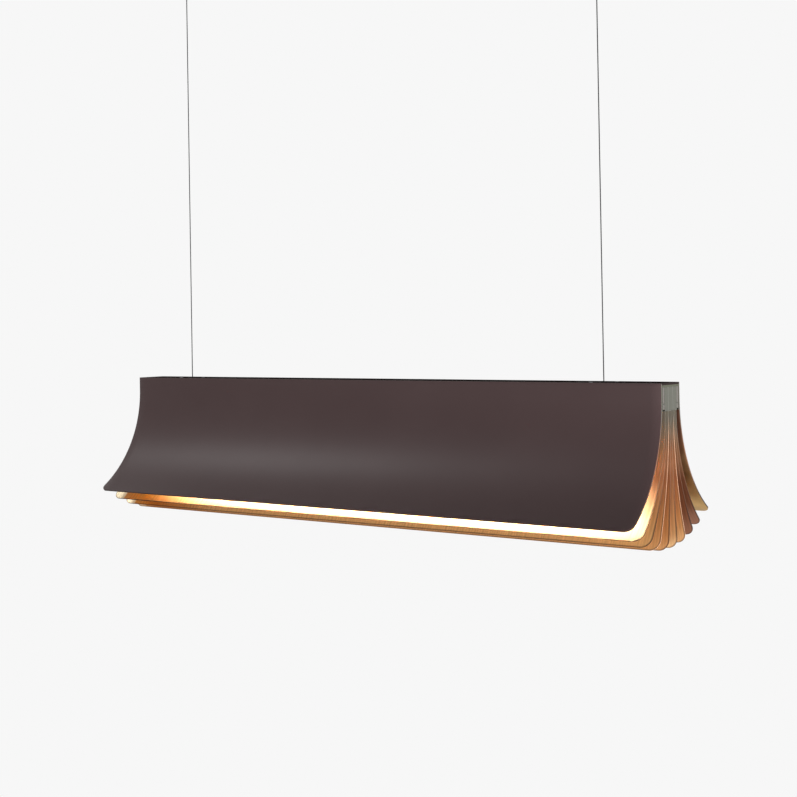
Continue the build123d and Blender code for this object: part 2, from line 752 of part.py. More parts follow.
def terminal_block():
    """Three-way mains terminal with a screw well and a wire hole for each way."""
    x = driver_length / 2 + terminal_gap + terminal_length / 2
    body = Box(terminal_length, terminal_width, terminal_height)
    body = chamfer(body.edges().filter_by(Axis.X).group_by(Axis.Z)[0], terminal_chamfer)
    piece = Pos(x, 0, terminal_wire_height) * body
    for i in (-1, 0, 1):
        way = i * terminal_way_pitch
        hole = Rot(0, 90, 0) * Cylinder(terminal_wire_hole, 2 * terminal_length)
        well = Cylinder(terminal_screw_well, 2 * terminal_well_depth)
        piece -= Pos(x, way, terminal_wire_height) * hole
        piece -= Pos(x, way, -plate_thickness - terminal_height) * well
    for spot in terminal_pegs():
        piece += spot * Pos(0, 0, -plate_thickness / 2 - loose_gap / 2) * Cylinder(
            peg_radius, plate_thickness - loose_gap
        )
    return piece


def driver_leads():
    """Mains wires from the terminal block to the driver's end face."""
    start = driver_length / 2
    length = terminal_gap + mains_lead_entry
    rod = Rot(0, 90, 0) * Cylinder(mains_lead_radius, length)
    places = [i * terminal_way_pitch for i in (0, 1)]
    return Compound(children=[Pos(start + length / 2, y, terminal_wire_height) * rod for y in places])


save("ceiling_plate", ceiling_plate())
save("canopy_cover", canopy_cover())
save("hanger_nuts", hanger_nuts())
save("collar_nuts", collar_nuts())
save("ball_seats", ball_seats())
save("led_driver", led_driver())
save("driver_screws", driver_screws())
save("terminal_block", terminal_block())
save("driver_leads", driver_leads())
save("gripped_cables", gripped_cables())
for name, side in (("left", -1), ("right", 1)):
    save(f"hanger_tube_{name}", hanger_tube(side))
    save(f"cable_tail_{name}", cable_tail(side))
    save(f"gripper_head_{name}", gripper_head(side))
    save(f"gripper_barrel_{name}", gripper_barrel(side))
    save(f"grip_balls_{name}", grip_balls(side))
    save(f"sleeve_spring_{name}", sleeve_spring(side))
    save(f"release_sleeve_{name}", release_sleeve(side))
    save(f"suspension_cable_{name}", suspension_cable(side))
    save(f"cable_end_{name}", hang(cable_end(side)))
save("cross_barrels", hang(cross_barrels()))
save("anchor_blocks", hang(anchor_blocks()))
save("contact_plates", hang(contact_plates()))
save("feed_leads", hang(feed_leads()))
save("spine_cap", hang(spine_cap()))
save("cap_screws", hang(cap_screws()))
save("tie_bolts", hang(tie_bolts()))
save("tie_nuts", hang(tie_nuts()))
save("bonding_tapes", hang(bonding_tapes()))
for name, side in (("front", -1), ("back", 1)):
    save(f"outer_sheet_{name}", hang(outer_sheet(side)))
    save(f"light_profile_{name}", hang(light_profile(side)))
    save(f"light_strip_{name}", hang(light_strip(side)))
    save(f"diffuser_{name}", hang(diffuser(side)))
for number in range(1, leaf_count + 1):
    save(f"leaf_{number}", hang(leaf(number)))
for number in range(1, leaf_count):
    save(f"spacer_bar_{number}", hang(spacer_bar(number)))

for number in range(leaf_count // 2):
    turn = leaf_fan_step * (number + 0.5)
    print("leaf bend radius", round((leaf_drop - clamp_height) / radians(turn), 1))
print("cable tail lengths", round(tail_path(-1).length, 1), round(tail_path(1).length, 1))
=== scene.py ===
# Long pendant light: two bent outer sheets and a fan of leaves under a lit spine, hung on two cables
# from a canopy. Metres. The origin is on the ceiling, midway between the cables, X runs along the lamp
# and -Y is the front.
from math import cos, pi, radians, sin

import bpy
from mathutils import Matrix, Vector


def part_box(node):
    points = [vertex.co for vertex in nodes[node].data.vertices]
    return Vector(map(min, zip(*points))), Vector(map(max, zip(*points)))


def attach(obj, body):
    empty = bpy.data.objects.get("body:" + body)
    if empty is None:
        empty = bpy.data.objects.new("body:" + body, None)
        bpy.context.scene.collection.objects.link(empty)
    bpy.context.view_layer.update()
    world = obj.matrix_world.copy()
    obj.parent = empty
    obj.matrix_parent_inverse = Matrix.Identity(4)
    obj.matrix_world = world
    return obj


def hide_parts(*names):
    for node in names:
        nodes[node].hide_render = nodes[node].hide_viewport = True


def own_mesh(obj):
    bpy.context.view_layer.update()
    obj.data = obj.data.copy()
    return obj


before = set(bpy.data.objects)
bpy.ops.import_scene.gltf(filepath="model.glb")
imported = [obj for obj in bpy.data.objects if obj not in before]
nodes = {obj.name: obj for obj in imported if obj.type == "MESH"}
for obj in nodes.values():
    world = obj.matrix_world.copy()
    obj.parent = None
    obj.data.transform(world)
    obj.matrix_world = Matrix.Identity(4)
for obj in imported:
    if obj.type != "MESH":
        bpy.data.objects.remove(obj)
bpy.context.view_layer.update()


# Outer sheets: 2 mm aluminium, roll-bent outwards below the spine and taped to its two light profiles.
# They are lacquered satin brown outside and on their cut edges, and lined with gold leaf inside.
def linear(hex_colour):
    """An sRGB hex colour as the linear colour that a shader takes."""
    shares = [int(hex_colour[i : i + 2], 16) / 255 for i in (1, 3, 5)]
    return [s / 12.92 if s <= 0.04045 else ((s + 0.055) / 1.055) ** 2.4 for s in shares] + [1.0]


def add(tree, kind, inputs=(), **settings):
    """Add one node to a tree, of the tree's own family, the shader family or the family in its kind. Its
    inputs come by name, or in order of those in use. Each is a value, an sRGB hex colour, the socket or
    node that feeds it, or a list of such nodes."""
    families = (tree.bl_idname.removesuffix("Tree"), "ShaderNode", "")
    made = tree.nodes.new(next(family + kind for family in families if hasattr(bpy.types, family + kind)))
    for name, value in settings.items():
        setattr(made, name, value)
    in_use = [socket for socket in made.inputs if socket.enabled]
    by_name = {socket.name: socket for socket in reversed(in_use)}
    named = isinstance(inputs, dict)
    fed = [(by_name[name], inputs[name]) for name in inputs] if named else zip(in_use, inputs)
    for socket, value in fed:
        for source in value if isinstance(value, list) else [value]:
            if isinstance(source, bpy.types.Node):
                source = next(output for output in source.outputs if output.enabled)
            if isinstance(source, bpy.types.NodeSocket):
                tree.links.new(source, socket)
            else:
                socket.default_value = linear(source) if str(source).startswith("#") else source
    return made


def start_finish(name, coordinates="Object"):
    """An empty material named for its finish, its node tree, and the coordinates that its patterns read."""
    finish = bpy.data.materials.new(name)
    finish.use_nodes = True
    tree = finish.node_tree
    tree.nodes.clear()
    return finish, tree, add(tree, "TexCoord").outputs[coordinates]


def end_finish(finish, pattern, tone, rough, bump=(), look=()):
    """Give a material its shader. Its tone and roughness are inputs, or pairs that a pattern goes between,
    and the same pattern raises it by this strength and depth."""
    tree = finish.node_tree
    look = dict(look)
    if isinstance(tone, tuple):
        tone = add(tree, "Mix", (pattern, *tone), data_type="RGBA")
    # A MapRange takes a value, the range to read it in and the range to give.
    if isinstance(rough, tuple):
        rough = add(tree, "MapRange", (pattern, 0.0, 1.0, *rough))
    if bump:
        look["Normal"] = add(tree, "Bump", {"Strength": bump[0], "Distance": bump[1], "Height": pattern})
    shader = add(tree, "BsdfPrincipled", {"Base Color": tone, "Roughness": rough, **look})
    add(tree, "OutputMaterial", {"Surface": shader})
    return finish


def satin_brown_lacquer():
    """Baked satin lacquer: a soft broad sheen, a slightly cloudy brown and a fine orange peel."""
    finish, tree, place = start_finish("satin_brown_lacquer")
    cloud = add(tree, "TexNoise", {"Vector": place, "Scale": 7.0, "Detail": 3.0})
    cloud = add(tree, "MapRange", (cloud, 0.3, 0.7))
    tone = add(tree, "Mix", (cloud, "#503f3f", "#544343"), data_type="RGBA")
    # The real orange peel is about 1 mm wide. It is drawn at 2.5 mm, so that it shows.
    peel = add(tree, "TexNoise", {"Vector": place, "Scale": 400.0, "Detail": 1.0})
    return end_finish(finish, peel, tone, (0.38, 0.46), (0.1, 0.0002), {"Specular IOR Level": 0.15})


def burnished_edge_bronze():
    """Sheared edges with painted shade: grey by the spine, near black along the top and towards the tips."""
    finish, tree, place = start_finish("burnished_edge_bronze", "UV")
    grain = add(tree, "TexNoise", {"Vector": place, "Scale": 900.0})
    down = add(tree, "SeparateXYZ", (place,)).outputs["Y"]
    # Painted shade: the edge darkens to near black towards the tips and along its top, and greys by the
    # spine.
    tip_shade = add(tree, "MapRange", (down, 0.1, 0.16))
    shaded_tone = add(tree, "Mix", (tip_shade, "#7b5138", "#2c1a12"), data_type="RGBA")
    clear = add(tree, "MapRange", (down, 0.04, 0.085))
    tone = add(tree, "Mix", (clear, "#5c584f", shaded_tone), data_type="RGBA")
    below_top = add(tree, "Math", (down, 0.001), operation="GREATER_THAN")
    tone = add(tree, "Mix", (below_top, "#1f1817", tone), data_type="RGBA")
    return end_finish(finish, grain, tone, (0.5, 0.65), look={"Metallic": 0.5})


def gold_leaf_lining():
    """Beaten gold leaf under varnish: warm metal, mottled, with painted shade in copper brown towards the
    spine.
    """
    finish, tree, place = start_finish("gold_leaf_lining", "UV")
    mottle = add(tree, "TexNoise", {"Vector": place, "Scale": 45.0, "Detail": 6.0})
    mottle = add(tree, "MapRange", (mottle, 0.3, 0.7))
    tone = add(tree, "Mix", (mottle, "#a9854f", "#c9a368"), data_type="RGBA")
    down = add(tree, "SeparateXYZ", (place,)).outputs["Y"]
    # Painted shade: the lining turns darker brown towards the spine, deep in the narrow gap between sheet and
    # leaves.
    low = add(tree, "MapRange", (down, 0.06, 0.17))
    tone = add(tree, "Mix", (low, "#7a5443", tone), data_type="RGBA")
    return end_finish(finish, mottle, tone, (0.36, 0.52), (0.25, 0.0002), {"Metallic": 0.85})


def start_growth(name, sizes):
    """An empty Geometry Nodes tree with an input for each of these sizes, and the sockets that carry them."""
    tree = bpy.data.node_groups.new(name, "GeometryNodeTree")
    tree.interface.new_socket("Mesh", in_out="OUTPUT", socket_type="NodeSocketGeometry")
    for size, value in sizes.items():
        # The value's type names its socket: a float, an int, a material or an object.
        kind = type(value).__name__.capitalize()
        tree.interface.new_socket(size, in_out="INPUT", socket_type=f"NodeSocket{kind}")
    return tree, add(tree, "NodeGroupInput").outputs


def end_growth(tree, shape, finish, where=True):
    """Realise what the tree made, give it its finish and send it out."""
    whole = add(tree, "RealizeInstances", {"Geometry": shape})
    done = add(tree, "SetMaterial", {"Geometry": whole, "Selection": where, "Material": finish})
    add(tree, "NodeGroupOutput", (done,))
    return tree


def bent_sheet_tree(sizes):
    """A sheet that hangs straight and then bends outwards on one arc, with two rounded lower corners."""
    tree, given = start_growth("bent sheet", sizes)
    grid = add(tree, "MeshGrid", (1.0, 1.0, given["Columns"], given["Rows"]))
    place = add(tree, "SeparateXYZ", (add(tree, "InputPosition"),))
    share = add(tree, "Math", (0.5, place.outputs["Y"]), operation="SUBTRACT")

    # The upper rows share the drop evenly, and the last fifth of them go round the corner by angle.
    corner_from = 0.8
    turned = add(tree, "MapRange", (share, corner_from, 1.0, 0.0, pi / 2))
    rise = add(tree, "Math", (turned,), operation="SINE")
    fall = add(tree, "Math", (turned,), operation="COSINE")
    drop = add(tree, "Math", (given["Radius"], given["Turn"], given["Straight"]), operation="MULTIPLY_ADD")
    even = add(tree, "Math", (drop, given["Corner"]), operation="SUBTRACT")
    even = add(tree, "MapRange", (share, 0.0, corner_from, 0.0, even))
    down = add(tree, "Math", (rise, given["Corner"], even), operation="MULTIPLY_ADD")
    inset = add(tree, "Math", (1.0, fall), operation="SUBTRACT")
    inset = add(tree, "Math", (inset, given["Corner"]), operation="MULTIPLY")
    width = add(tree, "Math", (inset, -2.0, given["Length"]), operation="MULTIPLY_ADD")
    along = add(tree, "Math", (place.outputs["X"], width), operation="MULTIPLY")

    # A notch over each cable's anchor, in the part of a leaf that the spine hides.
    from_middle = add(tree, "Math", (along,), operation="ABSOLUTE")
    from_notch = (from_middle, given["Notch Place"], given["Notch Half Width"])
    in_notch = add(tree, "Math", from_notch, operation="COMPARE")
    over_floor = add(tree, "Math", (down, given["Notch Depth"]), operation="LESS_THAN")
    notch = add(tree, "Math", (in_notch, over_floor), operation="MULTIPLY")
    notched = add(tree, "DeleteGeometry", {"Geometry": grid, "Selection": notch}, domain="FACE")

    # The net is drawn out for one face and the edges, and a flipped copy of it closes the other face.
    drawn = add(tree, "ExtrudeMesh", {"Mesh": notched, "Offset Scale": 0.0, "Individual": False})
    edged = add(tree, "SetMaterial", {"Geometry": drawn, "Material": given["Edge Finish"]})
    lining = add(tree, "FlipFaces", {"Mesh": notched})
    lining = add(tree, "SetMaterial", {"Geometry": lining, "Material": given["Inner Finish"]})
    plate = add(tree, "JoinGeometry", ([edged, lining],))

    past = add(tree, "Math", (down, given["Straight"]), operation="SUBTRACT")
    past = add(tree, "Math", (past, 0.0), operation="MAXIMUM")
    angle = add(tree, "Math", (past, given["Radius"]), operation="DIVIDE")
    angle_sine = add(tree, "Math", (angle,), operation="SINE")
    angle_cosine = add(tree, "Math", (angle,), operation="COSINE")
    straight = add(tree, "Math", (down, given["Straight"]), operation="MINIMUM")
    skin = add(tree, "Math", (drawn.outputs["Top"], given["Thickness"]), operation="MULTIPLY")
    skin = add(tree, "Math", (given["Thickness"], skin), operation="SUBTRACT")
    reach = add(tree, "Math", (given["Radius"], skin), operation="ADD")
    centre = add(tree, "Math", (given["Face"], given["Radius"]), operation="ADD")
    back = add(tree, "Math", (reach, angle_cosine), operation="MULTIPLY")
    out = add(tree, "Math", (centre, back), operation="SUBTRACT")
    out = add(tree, "Math", (out, given["Side"]), operation="MULTIPLY")
    height = add(tree, "Math", (given["Top"], straight), operation="SUBTRACT")
    under = add(tree, "Math", (reach, angle_sine), operation="MULTIPLY")
    height = add(tree, "Math", (height, under), operation="SUBTRACT")
    where = add(tree, "CombineXYZ", (along, out, height))
    flat_place = add(tree, "CombineXYZ", (along, down))
    mapped = {"Geometry": plate, "Name": "UVMap", "Value": flat_place}
    mapped = add(tree, "StoreNamedAttribute", mapped, data_type="FLOAT2", domain="CORNER")
    # Each piece stores its share of painted shade, for its finish to read.
    painted_shade_stored = {"Geometry": mapped, "Name": "tone", "Value": given["Tone"]}
    painted_shade_stored = add(tree, "StoreNamedAttribute", painted_shade_stored, data_type="FLOAT", domain="POINT")
    bent = add(tree, "SetPosition", {"Geometry": painted_shade_stored, "Position": where})
    bent = add(tree, "MergeByDistance", {"Geometry": bent, "Distance": 0.00001})
    is_back = add(tree, "Math", (given["Side"], 0.0), operation="GREATER_THAN")
    bent = add(tree, "FlipFaces", {"Mesh": bent, "Selection": is_back})
    return end_growth(tree, bent, given["Outer Finish"], drawn.outputs["Top"])


def placed(name, data):
    """A new object in the scene that holds this mesh, curve, light or camera."""
    item = bpy.data.objects.new(name, data)
    bpy.context.scene.collection.objects.link(item)
    return item


def grown(name, make_tree, sizes, edge_rounding=0.0, sharp_over=35):
    """Run a node tree with these sizes and keep what it makes as one plain smooth mesh."""
    piece = placed(name, bpy.data.meshes.new(name))
    growth = piece.modifiers.new("growth", "NODES")
    growth.node_group = make_tree(sizes)
    for socket in growth.node_group.interface.items_tree:
        if socket.in_out == "INPUT":
            growth[socket.identifier] = sizes[socket.name]
    if edge_rounding:
        rounding = piece.modifiers.new("edges", "BEVEL")
        rounding.width = edge_rounding
        rounding.segments = 2
        rounding.limit_method = "ANGLE"
        rounding.angle_limit = radians(50)
    seen = piece.evaluated_get(bpy.context.evaluated_depsgraph_get())
    mesh = bpy.data.meshes.new_from_object(seen)
    piece.modifiers.clear()
    piece.data = mesh
    mesh.shade_smooth()
    mesh.set_sharp_from_angle(angle=radians(sharp_over))
    return piece


lamp_low, lamp_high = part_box("outer_sheet_front")
lamp_top = lamp_high.z
sheet_turn = radians(60)
sheet_radius = 0.170
sheet_sizes = {
    "Length": lamp_high.x - lamp_low.x,
    "Top": lamp_top,
    "Face": -lamp_low.y - sheet_radius * (1 - cos(sheet_turn)),
    "Straight": 0.020,
    "Radius": sheet_radius,
    "Turn": sheet_turn,
    "Thickness": 0.002,
    "Corner": 0.012,
    "Tone": 0.0,
    "Notch Place": 0.0,
    "Notch Half Width": 0.0,
    "Notch Depth": 0.0,
    "Columns": 61,
    "Rows": 61,
    "Outer Finish": satin_brown_lacquer(),
    "Inner Finish": gold_leaf_lining(),
    "Edge Finish": burnished_edge_bronze(),
}
for end, side in (("front", -1.0), ("back", 1.0)):
    sheet = grown(f"bent_sheet_{end}", bent_sheet_tree, {**sheet_sizes, "Side": side}, edge_rounding=0.0004)
    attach(sheet, "lamp")
    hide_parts(f"outer_sheet_{end}")


# Leaves: eight 0.8 mm aluminium sheets, metal-leafed copper to gold on both faces and clamped at the top
# between spacer bars. Each is bent on its own arc, turned further out than the one inside it.
def copper_leaf():
    """Brushed metal leaf: streaky copper, with painted light and shade: grey by the spine, gold below, dark
    on the rear leaves and along its rim.
    """
    finish, tree, place = start_finish("copper_leaf", "UV")
    # Each leaf's share of painted shade comes in as the attribute tone: lit pale gold at none, shaded deep
    # copper at full.
    shade = add(tree, "Attribute", attribute_name="tone").outputs["Fac"]
    mottle = add(tree, "TexNoise", {"Vector": place, "Scale": 30.0, "Detail": 5.0})
    mottle = add(tree, "MapRange", (mottle, 0.3, 0.7))
    pale = add(tree, "Mix", (mottle, "#e2a878", "#f2c69a"), data_type="RGBA")
    spot = add(tree, "SeparateXYZ", (place,)).outputs
    down = spot["Y"]
    low = add(tree, "MapRange", (down, 0.11, 0.165))
    depth = add(tree, "MapRange", (down, 0.06, 0.12, 0.2))
    # Painted shade turns the gold to orange over the last hand's breadth at the left end, where the strip's
    # light fades, and a painted highlight keeps the very end cream.
    painted_falloff = add(tree, "MapRange", (spot["X"], -0.26, -0.38))
    gold = add(tree, "Mix", (painted_falloff, "#f8d8a2", "#dc8f28"), data_type="RGBA")
    painted_glint = add(tree, "MapRange", (spot["X"], -0.425, -0.428))
    gold = add(tree, "Mix", (painted_glint, gold, "#fdf0cc"), data_type="RGBA")
    # Painted light: the lower part of each leaf is painted lighter, a pale gold on the front leaves.
    pale = add(tree, "Mix", (low, pale, gold), data_type="RGBA")
    deep = add(tree, "Mix", (mottle, "#9e5632", "#c07848"), data_type="RGBA")
    # Painted light makes the lower ends a lighter copper, and painted shade makes the rearmost leaves brown.
    deep = add(tree, "Mix", (low, deep, "#dc9a5c"), data_type="RGBA")
    rear_painted_shade = add(tree, "MapRange", (shade, 0.85, 1.0, 0.0, 0.9))
    deep = add(tree, "Mix", (rear_painted_shade, deep, "#845038"), data_type="RGBA")
    # The painted shade is weaker near the spine.
    shade = add(tree, "Math", (shade, depth), operation="MULTIPLY")
    tone = add(tree, "Mix", (shade, pale, deep), data_type="RGBA")
    # Painted shade: the leaf turns grey by the spine, below the spacer bars.
    clear = add(tree, "MapRange", (down, 0.04, 0.08))
    tone = add(tree, "Mix", (clear, "#b0a593", tone), data_type="RGBA")
    # Brush strokes run down the leaf, each about 3 mm wide.
    strokes = add(tree, "Mapping", {"Vector": place, "Scale": (1.0, 0.03, 1.0)})
    strokes = add(tree, "TexNoise", {"Vector": strokes, "Scale": 330.0})
    strokes = add(tree, "MapRange", (strokes, 0.35, 0.65, 0.84, 1.12))
    tone = add(tree, "VectorMath", (tone, strokes), operation="SCALE")
    # How far a spot lies from the middle of the nearest rounded corner gives the rim its painted shade, a
    # dark line along the lower edge and end.
    beside = add(tree, "Math", (spot["X"],), operation="ABSOLUTE")
    beside = add(tree, "Math", (beside, lamp_high.x - leaf_corner), operation="SUBTRACT")
    below = add(tree, "Math", (down, leaf_straight + leaf_arc - leaf_corner), operation="SUBTRACT")
    out = add(tree, "CombineXYZ", (beside, below))
    out = add(tree, "VectorMath", (out, (0.0, 0.0, 0.0)), operation="MAXIMUM")
    out = add(tree, "VectorMath", (out,), operation="LENGTH")
    rim = add(tree, "MapRange", (out, leaf_corner - rim_width, leaf_corner - rim_full, 0.0, 0.75))
    rim = add(tree, "Math", (rim, low), operation="MULTIPLY")
    tone = add(tree, "Mix", (rim, tone, "#3a2217"), data_type="RGBA")
    # Brush lines run down the leaf. They are really 0.1 mm wide and are drawn at about 1 mm.
    lines = add(tree, "Mapping", {"Vector": place, "Scale": (1.0, 0.04, 1.0)})
    lines = add(tree, "TexNoise", {"Vector": lines, "Scale": 1000.0})
    return end_finish(finish, lines, tone, (0.38, 0.5), (0.12, 0.0001), {"Metallic": 0.4})


def polished_copper_edge():
    """Sheared edges with a painted highlight: pale pink copper with a fine shear grain, and painted grey
    shade in the spine.
    """
    finish, tree, place = start_finish("polished_copper_edge", "UV")
    down = add(tree, "SeparateXYZ", (place,)).outputs["Y"]
    clear = add(tree, "MapRange", (down, 0.035, 0.06))
    grain = add(tree, "TexNoise", {"Vector": place, "Scale": 900.0})
    tone = add(tree, "Mix", (grain, "#d9a785", "#eebf9c"), data_type="RGBA")
    tone = add(tree, "Mix", (clear, "#6b6a60", tone), data_type="RGBA")
    return end_finish(finish, grain, tone, (0.35, 0.5), look={"Metallic": 0.5})


leaf_pitch = 0.0042
leaf_thickness = 0.0008
leaf_fan_step = radians(14.4)
leaf_straight = 0.029
leaf_arc = 0.170
leaf_corner = 0.014
rim_width = 0.0022
rim_full = 0.0004
# How much painted shade each leaf gets: the front leaves are painted lit and pale, the rear leaves dark.
leaf_painted_shades = (0.1, 0.2, 0.6, 0.8, 0.55, 0.8, 1.0, 1.0)
# Two leaves' edges are painted pale as a highlight; the others get the dark edge with its painted shade.
highlight_edged_leaves = (3, 6)
leaf_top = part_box("leaf_1")[1].z
block_low, block_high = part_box("anchor_blocks")
block_half_length = 0.020
copper = copper_leaf()
painted_highlight_edge = polished_copper_edge()
for number, shade in enumerate(leaf_painted_shades, start=1):
    steps = number - (len(leaf_painted_shades) + 1) / 2
    turn = leaf_fan_step * abs(steps)
    leaf_sizes = {
        **sheet_sizes,
        "Top": leaf_top,
        "Side": 1.0 if steps > 0 else -1.0,
        "Face": abs(steps) * leaf_pitch + leaf_thickness / 2,
        "Straight": leaf_straight,
        "Radius": leaf_arc / turn - leaf_thickness / 2,
        "Turn": turn,
        "Thickness": leaf_thickness,
        "Corner": leaf_corner,
        "Tone": shade,
        "Notch Place": block_high.x - block_half_length,
        "Notch Half Width": 0.028,
        "Notch Depth": leaf_top - block_low.z,
        "Outer Finish": copper,
        "Inner Finish": copper,
        "Edge Finish": painted_highlight_edge if number in highlight_edged_leaves else sheet_sizes["Edge Finish"],
    }
    leaf = grown(f"fan_leaf_{number}", bent_sheet_tree, leaf_sizes)
    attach(leaf, "lamp")
    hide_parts(f"leaf_{number}")


# Spine: a lacquered aluminium cap over two extruded light profiles and seven milled spacer bars. Tie bolts
# clamp the leaves between them, and foam tape bonds the outer sheets to the profiles.
def extruded_bronze_anodise():
    """Bronze-grey anodising over extruded aluminium: a dull metal glow with fine lines along its length."""
    finish, tree, place = start_finish("extruded_bronze_anodise")
    # Die lines are 0.05 mm apart and are drawn at 0.5 mm.
    lines = add(tree, "Mapping", {"Vector": place, "Scale": (0.01, 1.0, 1.0)})
    lines = add(tree, "TexNoise", {"Vector": lines, "Scale": 2000.0})
    return end_finish(finish, lines, ("#3f4037", "#4f5045"), (0.38, 0.55), (0.1, 0.0001), {"Metallic": 0.6})


def matt_lacquer_bare_ends():
    """Dead-matt dark lacquer that takes no shine, over the top and its rim, and bare sawn aluminium ends."""
    finish, tree, place = start_finish("matt_lacquer_bare_ends")
    grain = add(tree, "TexNoise", {"Vector": place, "Scale": 900.0})
    dark = add(tree, "Mix", (grain, "#2b2524", "#352e2d"), data_type="RGBA")
    sawn = add(tree, "Mix", (grain, "#4d4e44", "#5c5d52"), data_type="RGBA")
    spot = add(tree, "SeparateXYZ", (place,)).outputs
    along = add(tree, "Math", (spot["X"],), operation="ABSOLUTE")
    at_end = add(tree, "Math", (along, lamp_high.x - hair), operation="GREATER_THAN")
    under_rim = add(tree, "Math", (spot["Z"], lamp_top - spine_rim), operation="LESS_THAN")
    bare = add(tree, "Math", (at_end, under_rim), operation="MULTIPLY")
    tone = add(tree, "Mix", (bare, dark, sawn), data_type="RGBA")
    return end_finish(finish, grain, tone, (0.7, 0.85), look={"Specular IOR Level": 0.0})


def closed_cell_foam_tape():
    """Grey closed-cell foam tape: matt, with pores of about 0.3 mm."""
    finish, tree, place = start_finish("closed_cell_foam_tape")
    pores = add(tree, "TexVoronoi", {"Vector": place, "Scale": 3300.0})
    return end_finish(finish, pores, ("#3a3836", "#55524f"), 0.9, (0.4, 0.0002))


def dress(finish, *names):
    """Give CAD nodes their finish."""
    for name in names:
        nodes[name].material_slots[0].material = finish


spine_rim = 0.0026
hair = 0.0001
dress(matt_lacquer_bare_ends(), "spine_cap")
spacers = [f"spacer_bar_{number}" for number in range(1, len(leaf_painted_shades))]
dress(extruded_bronze_anodise(), "light_profile_front", "light_profile_back", *spacers)
dress(closed_cell_foam_tape(), "bonding_tapes")


# Profile end plugs: grey moulded ABS, pressed into both chambers at each end of the two light profiles.
def moulded_grey_abs():
    """Textured moulded ABS: warm grey, satin, with a fine even grain drawn at 0.7 mm."""
    finish, tree, place = start_finish("moulded_grey_abs")
    grain = add(tree, "TexNoise", {"Vector": place, "Scale": 1500.0})
    return end_finish(finish, grain, ("#4e4a44", "#59544e"), 0.55, (0.2, 0.0001))


def end_plug_tree(sizes):
    """Two stacked plugs, one for each chamber of a profile, at both ends of both profiles."""
    tree, given = start_growth("end plugs", sizes)
    pair = []
    for high, low in (("Upper Top", "Upper Bottom"), ("Lower Top", "Lower Bottom")):
        tall = add(tree, "Math", (given[high], given[low]), operation="SUBTRACT")
        middle = add(tree, "Math", (given[high], given[low]), operation="ADD")
        middle = add(tree, "Math", (middle, 0.5), operation="MULTIPLY")
        block = (given["Plug Length"], given["Width"], tall)
        block = add(tree, "MeshCube", {"Size": add(tree, "CombineXYZ", block)})
        lift = add(tree, "CombineXYZ", {"Z": middle})
        pair.append(add(tree, "Transform", {"Geometry": block, "Translation": lift}))
    pair = add(tree, "JoinGeometry", (pair,))
    spots = add(tree, "MeshGrid", (2.0, 2.0, 2, 2))
    inset = add(tree, "Math", (given["Plug Length"], -0.5, given["Reach"]), operation="MULTIPLY_ADD")
    spread = add(tree, "CombineXYZ", (inset, given["Across"]))
    corner = add(tree, "InputPosition")
    corner = add(tree, "VectorMath", (corner, spread), operation="MULTIPLY")
    spots = add(tree, "SetPosition", {"Geometry": spots, "Position": corner})
    plugs = add(tree, "InstanceOnPoints", {"Points": spots, "Instance": pair})
    return end_growth(tree, plugs, given["Plug Finish"])


profile_low, profile_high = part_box("light_profile_back")
profile_wall = 0.0012
ledge_height = 0.0020
chamber_web = lamp_top - 0.0247
plug_sizes = {
    "Reach": profile_high.x - hair,
    "Across": (profile_low.y + profile_high.y) / 2,
    "Plug Length": 0.006,
    "Width": profile_high.y - profile_low.y - 2 * profile_wall - hair,
    "Upper Top": profile_high.z - hair,
    "Upper Bottom": chamber_web + hair,
    "Lower Top": chamber_web - profile_wall - hair,
    "Lower Bottom": profile_low.z + ledge_height,
    "Plug Finish": moulded_grey_abs(),
}
plugs = grown("profile_end_plugs", end_plug_tree, plug_sizes, edge_rounding=0.0003)
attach(plugs, "lamp")


# Fasteners: zinc-plated steel tie bolts and thin nuts inside the spine, and two slotted countersunk screws
# that hold the cap on each cable anchor, sunk flush into its top.
def zinc_plated_steel():
    """Bright zinc over turned steel: blue-white metal with faint cloudy patches and turning marks."""
    finish, tree, place = start_finish("zinc_plated_steel")
    cloud = add(tree, "TexNoise", {"Vector": place, "Scale": 260.0, "Detail": 3.0})
    return end_finish(finish, cloud, ("#a9adb0", "#c9ccce"), (0.22, 0.4), (0.1, 0.0001), {"Metallic": 1.0})


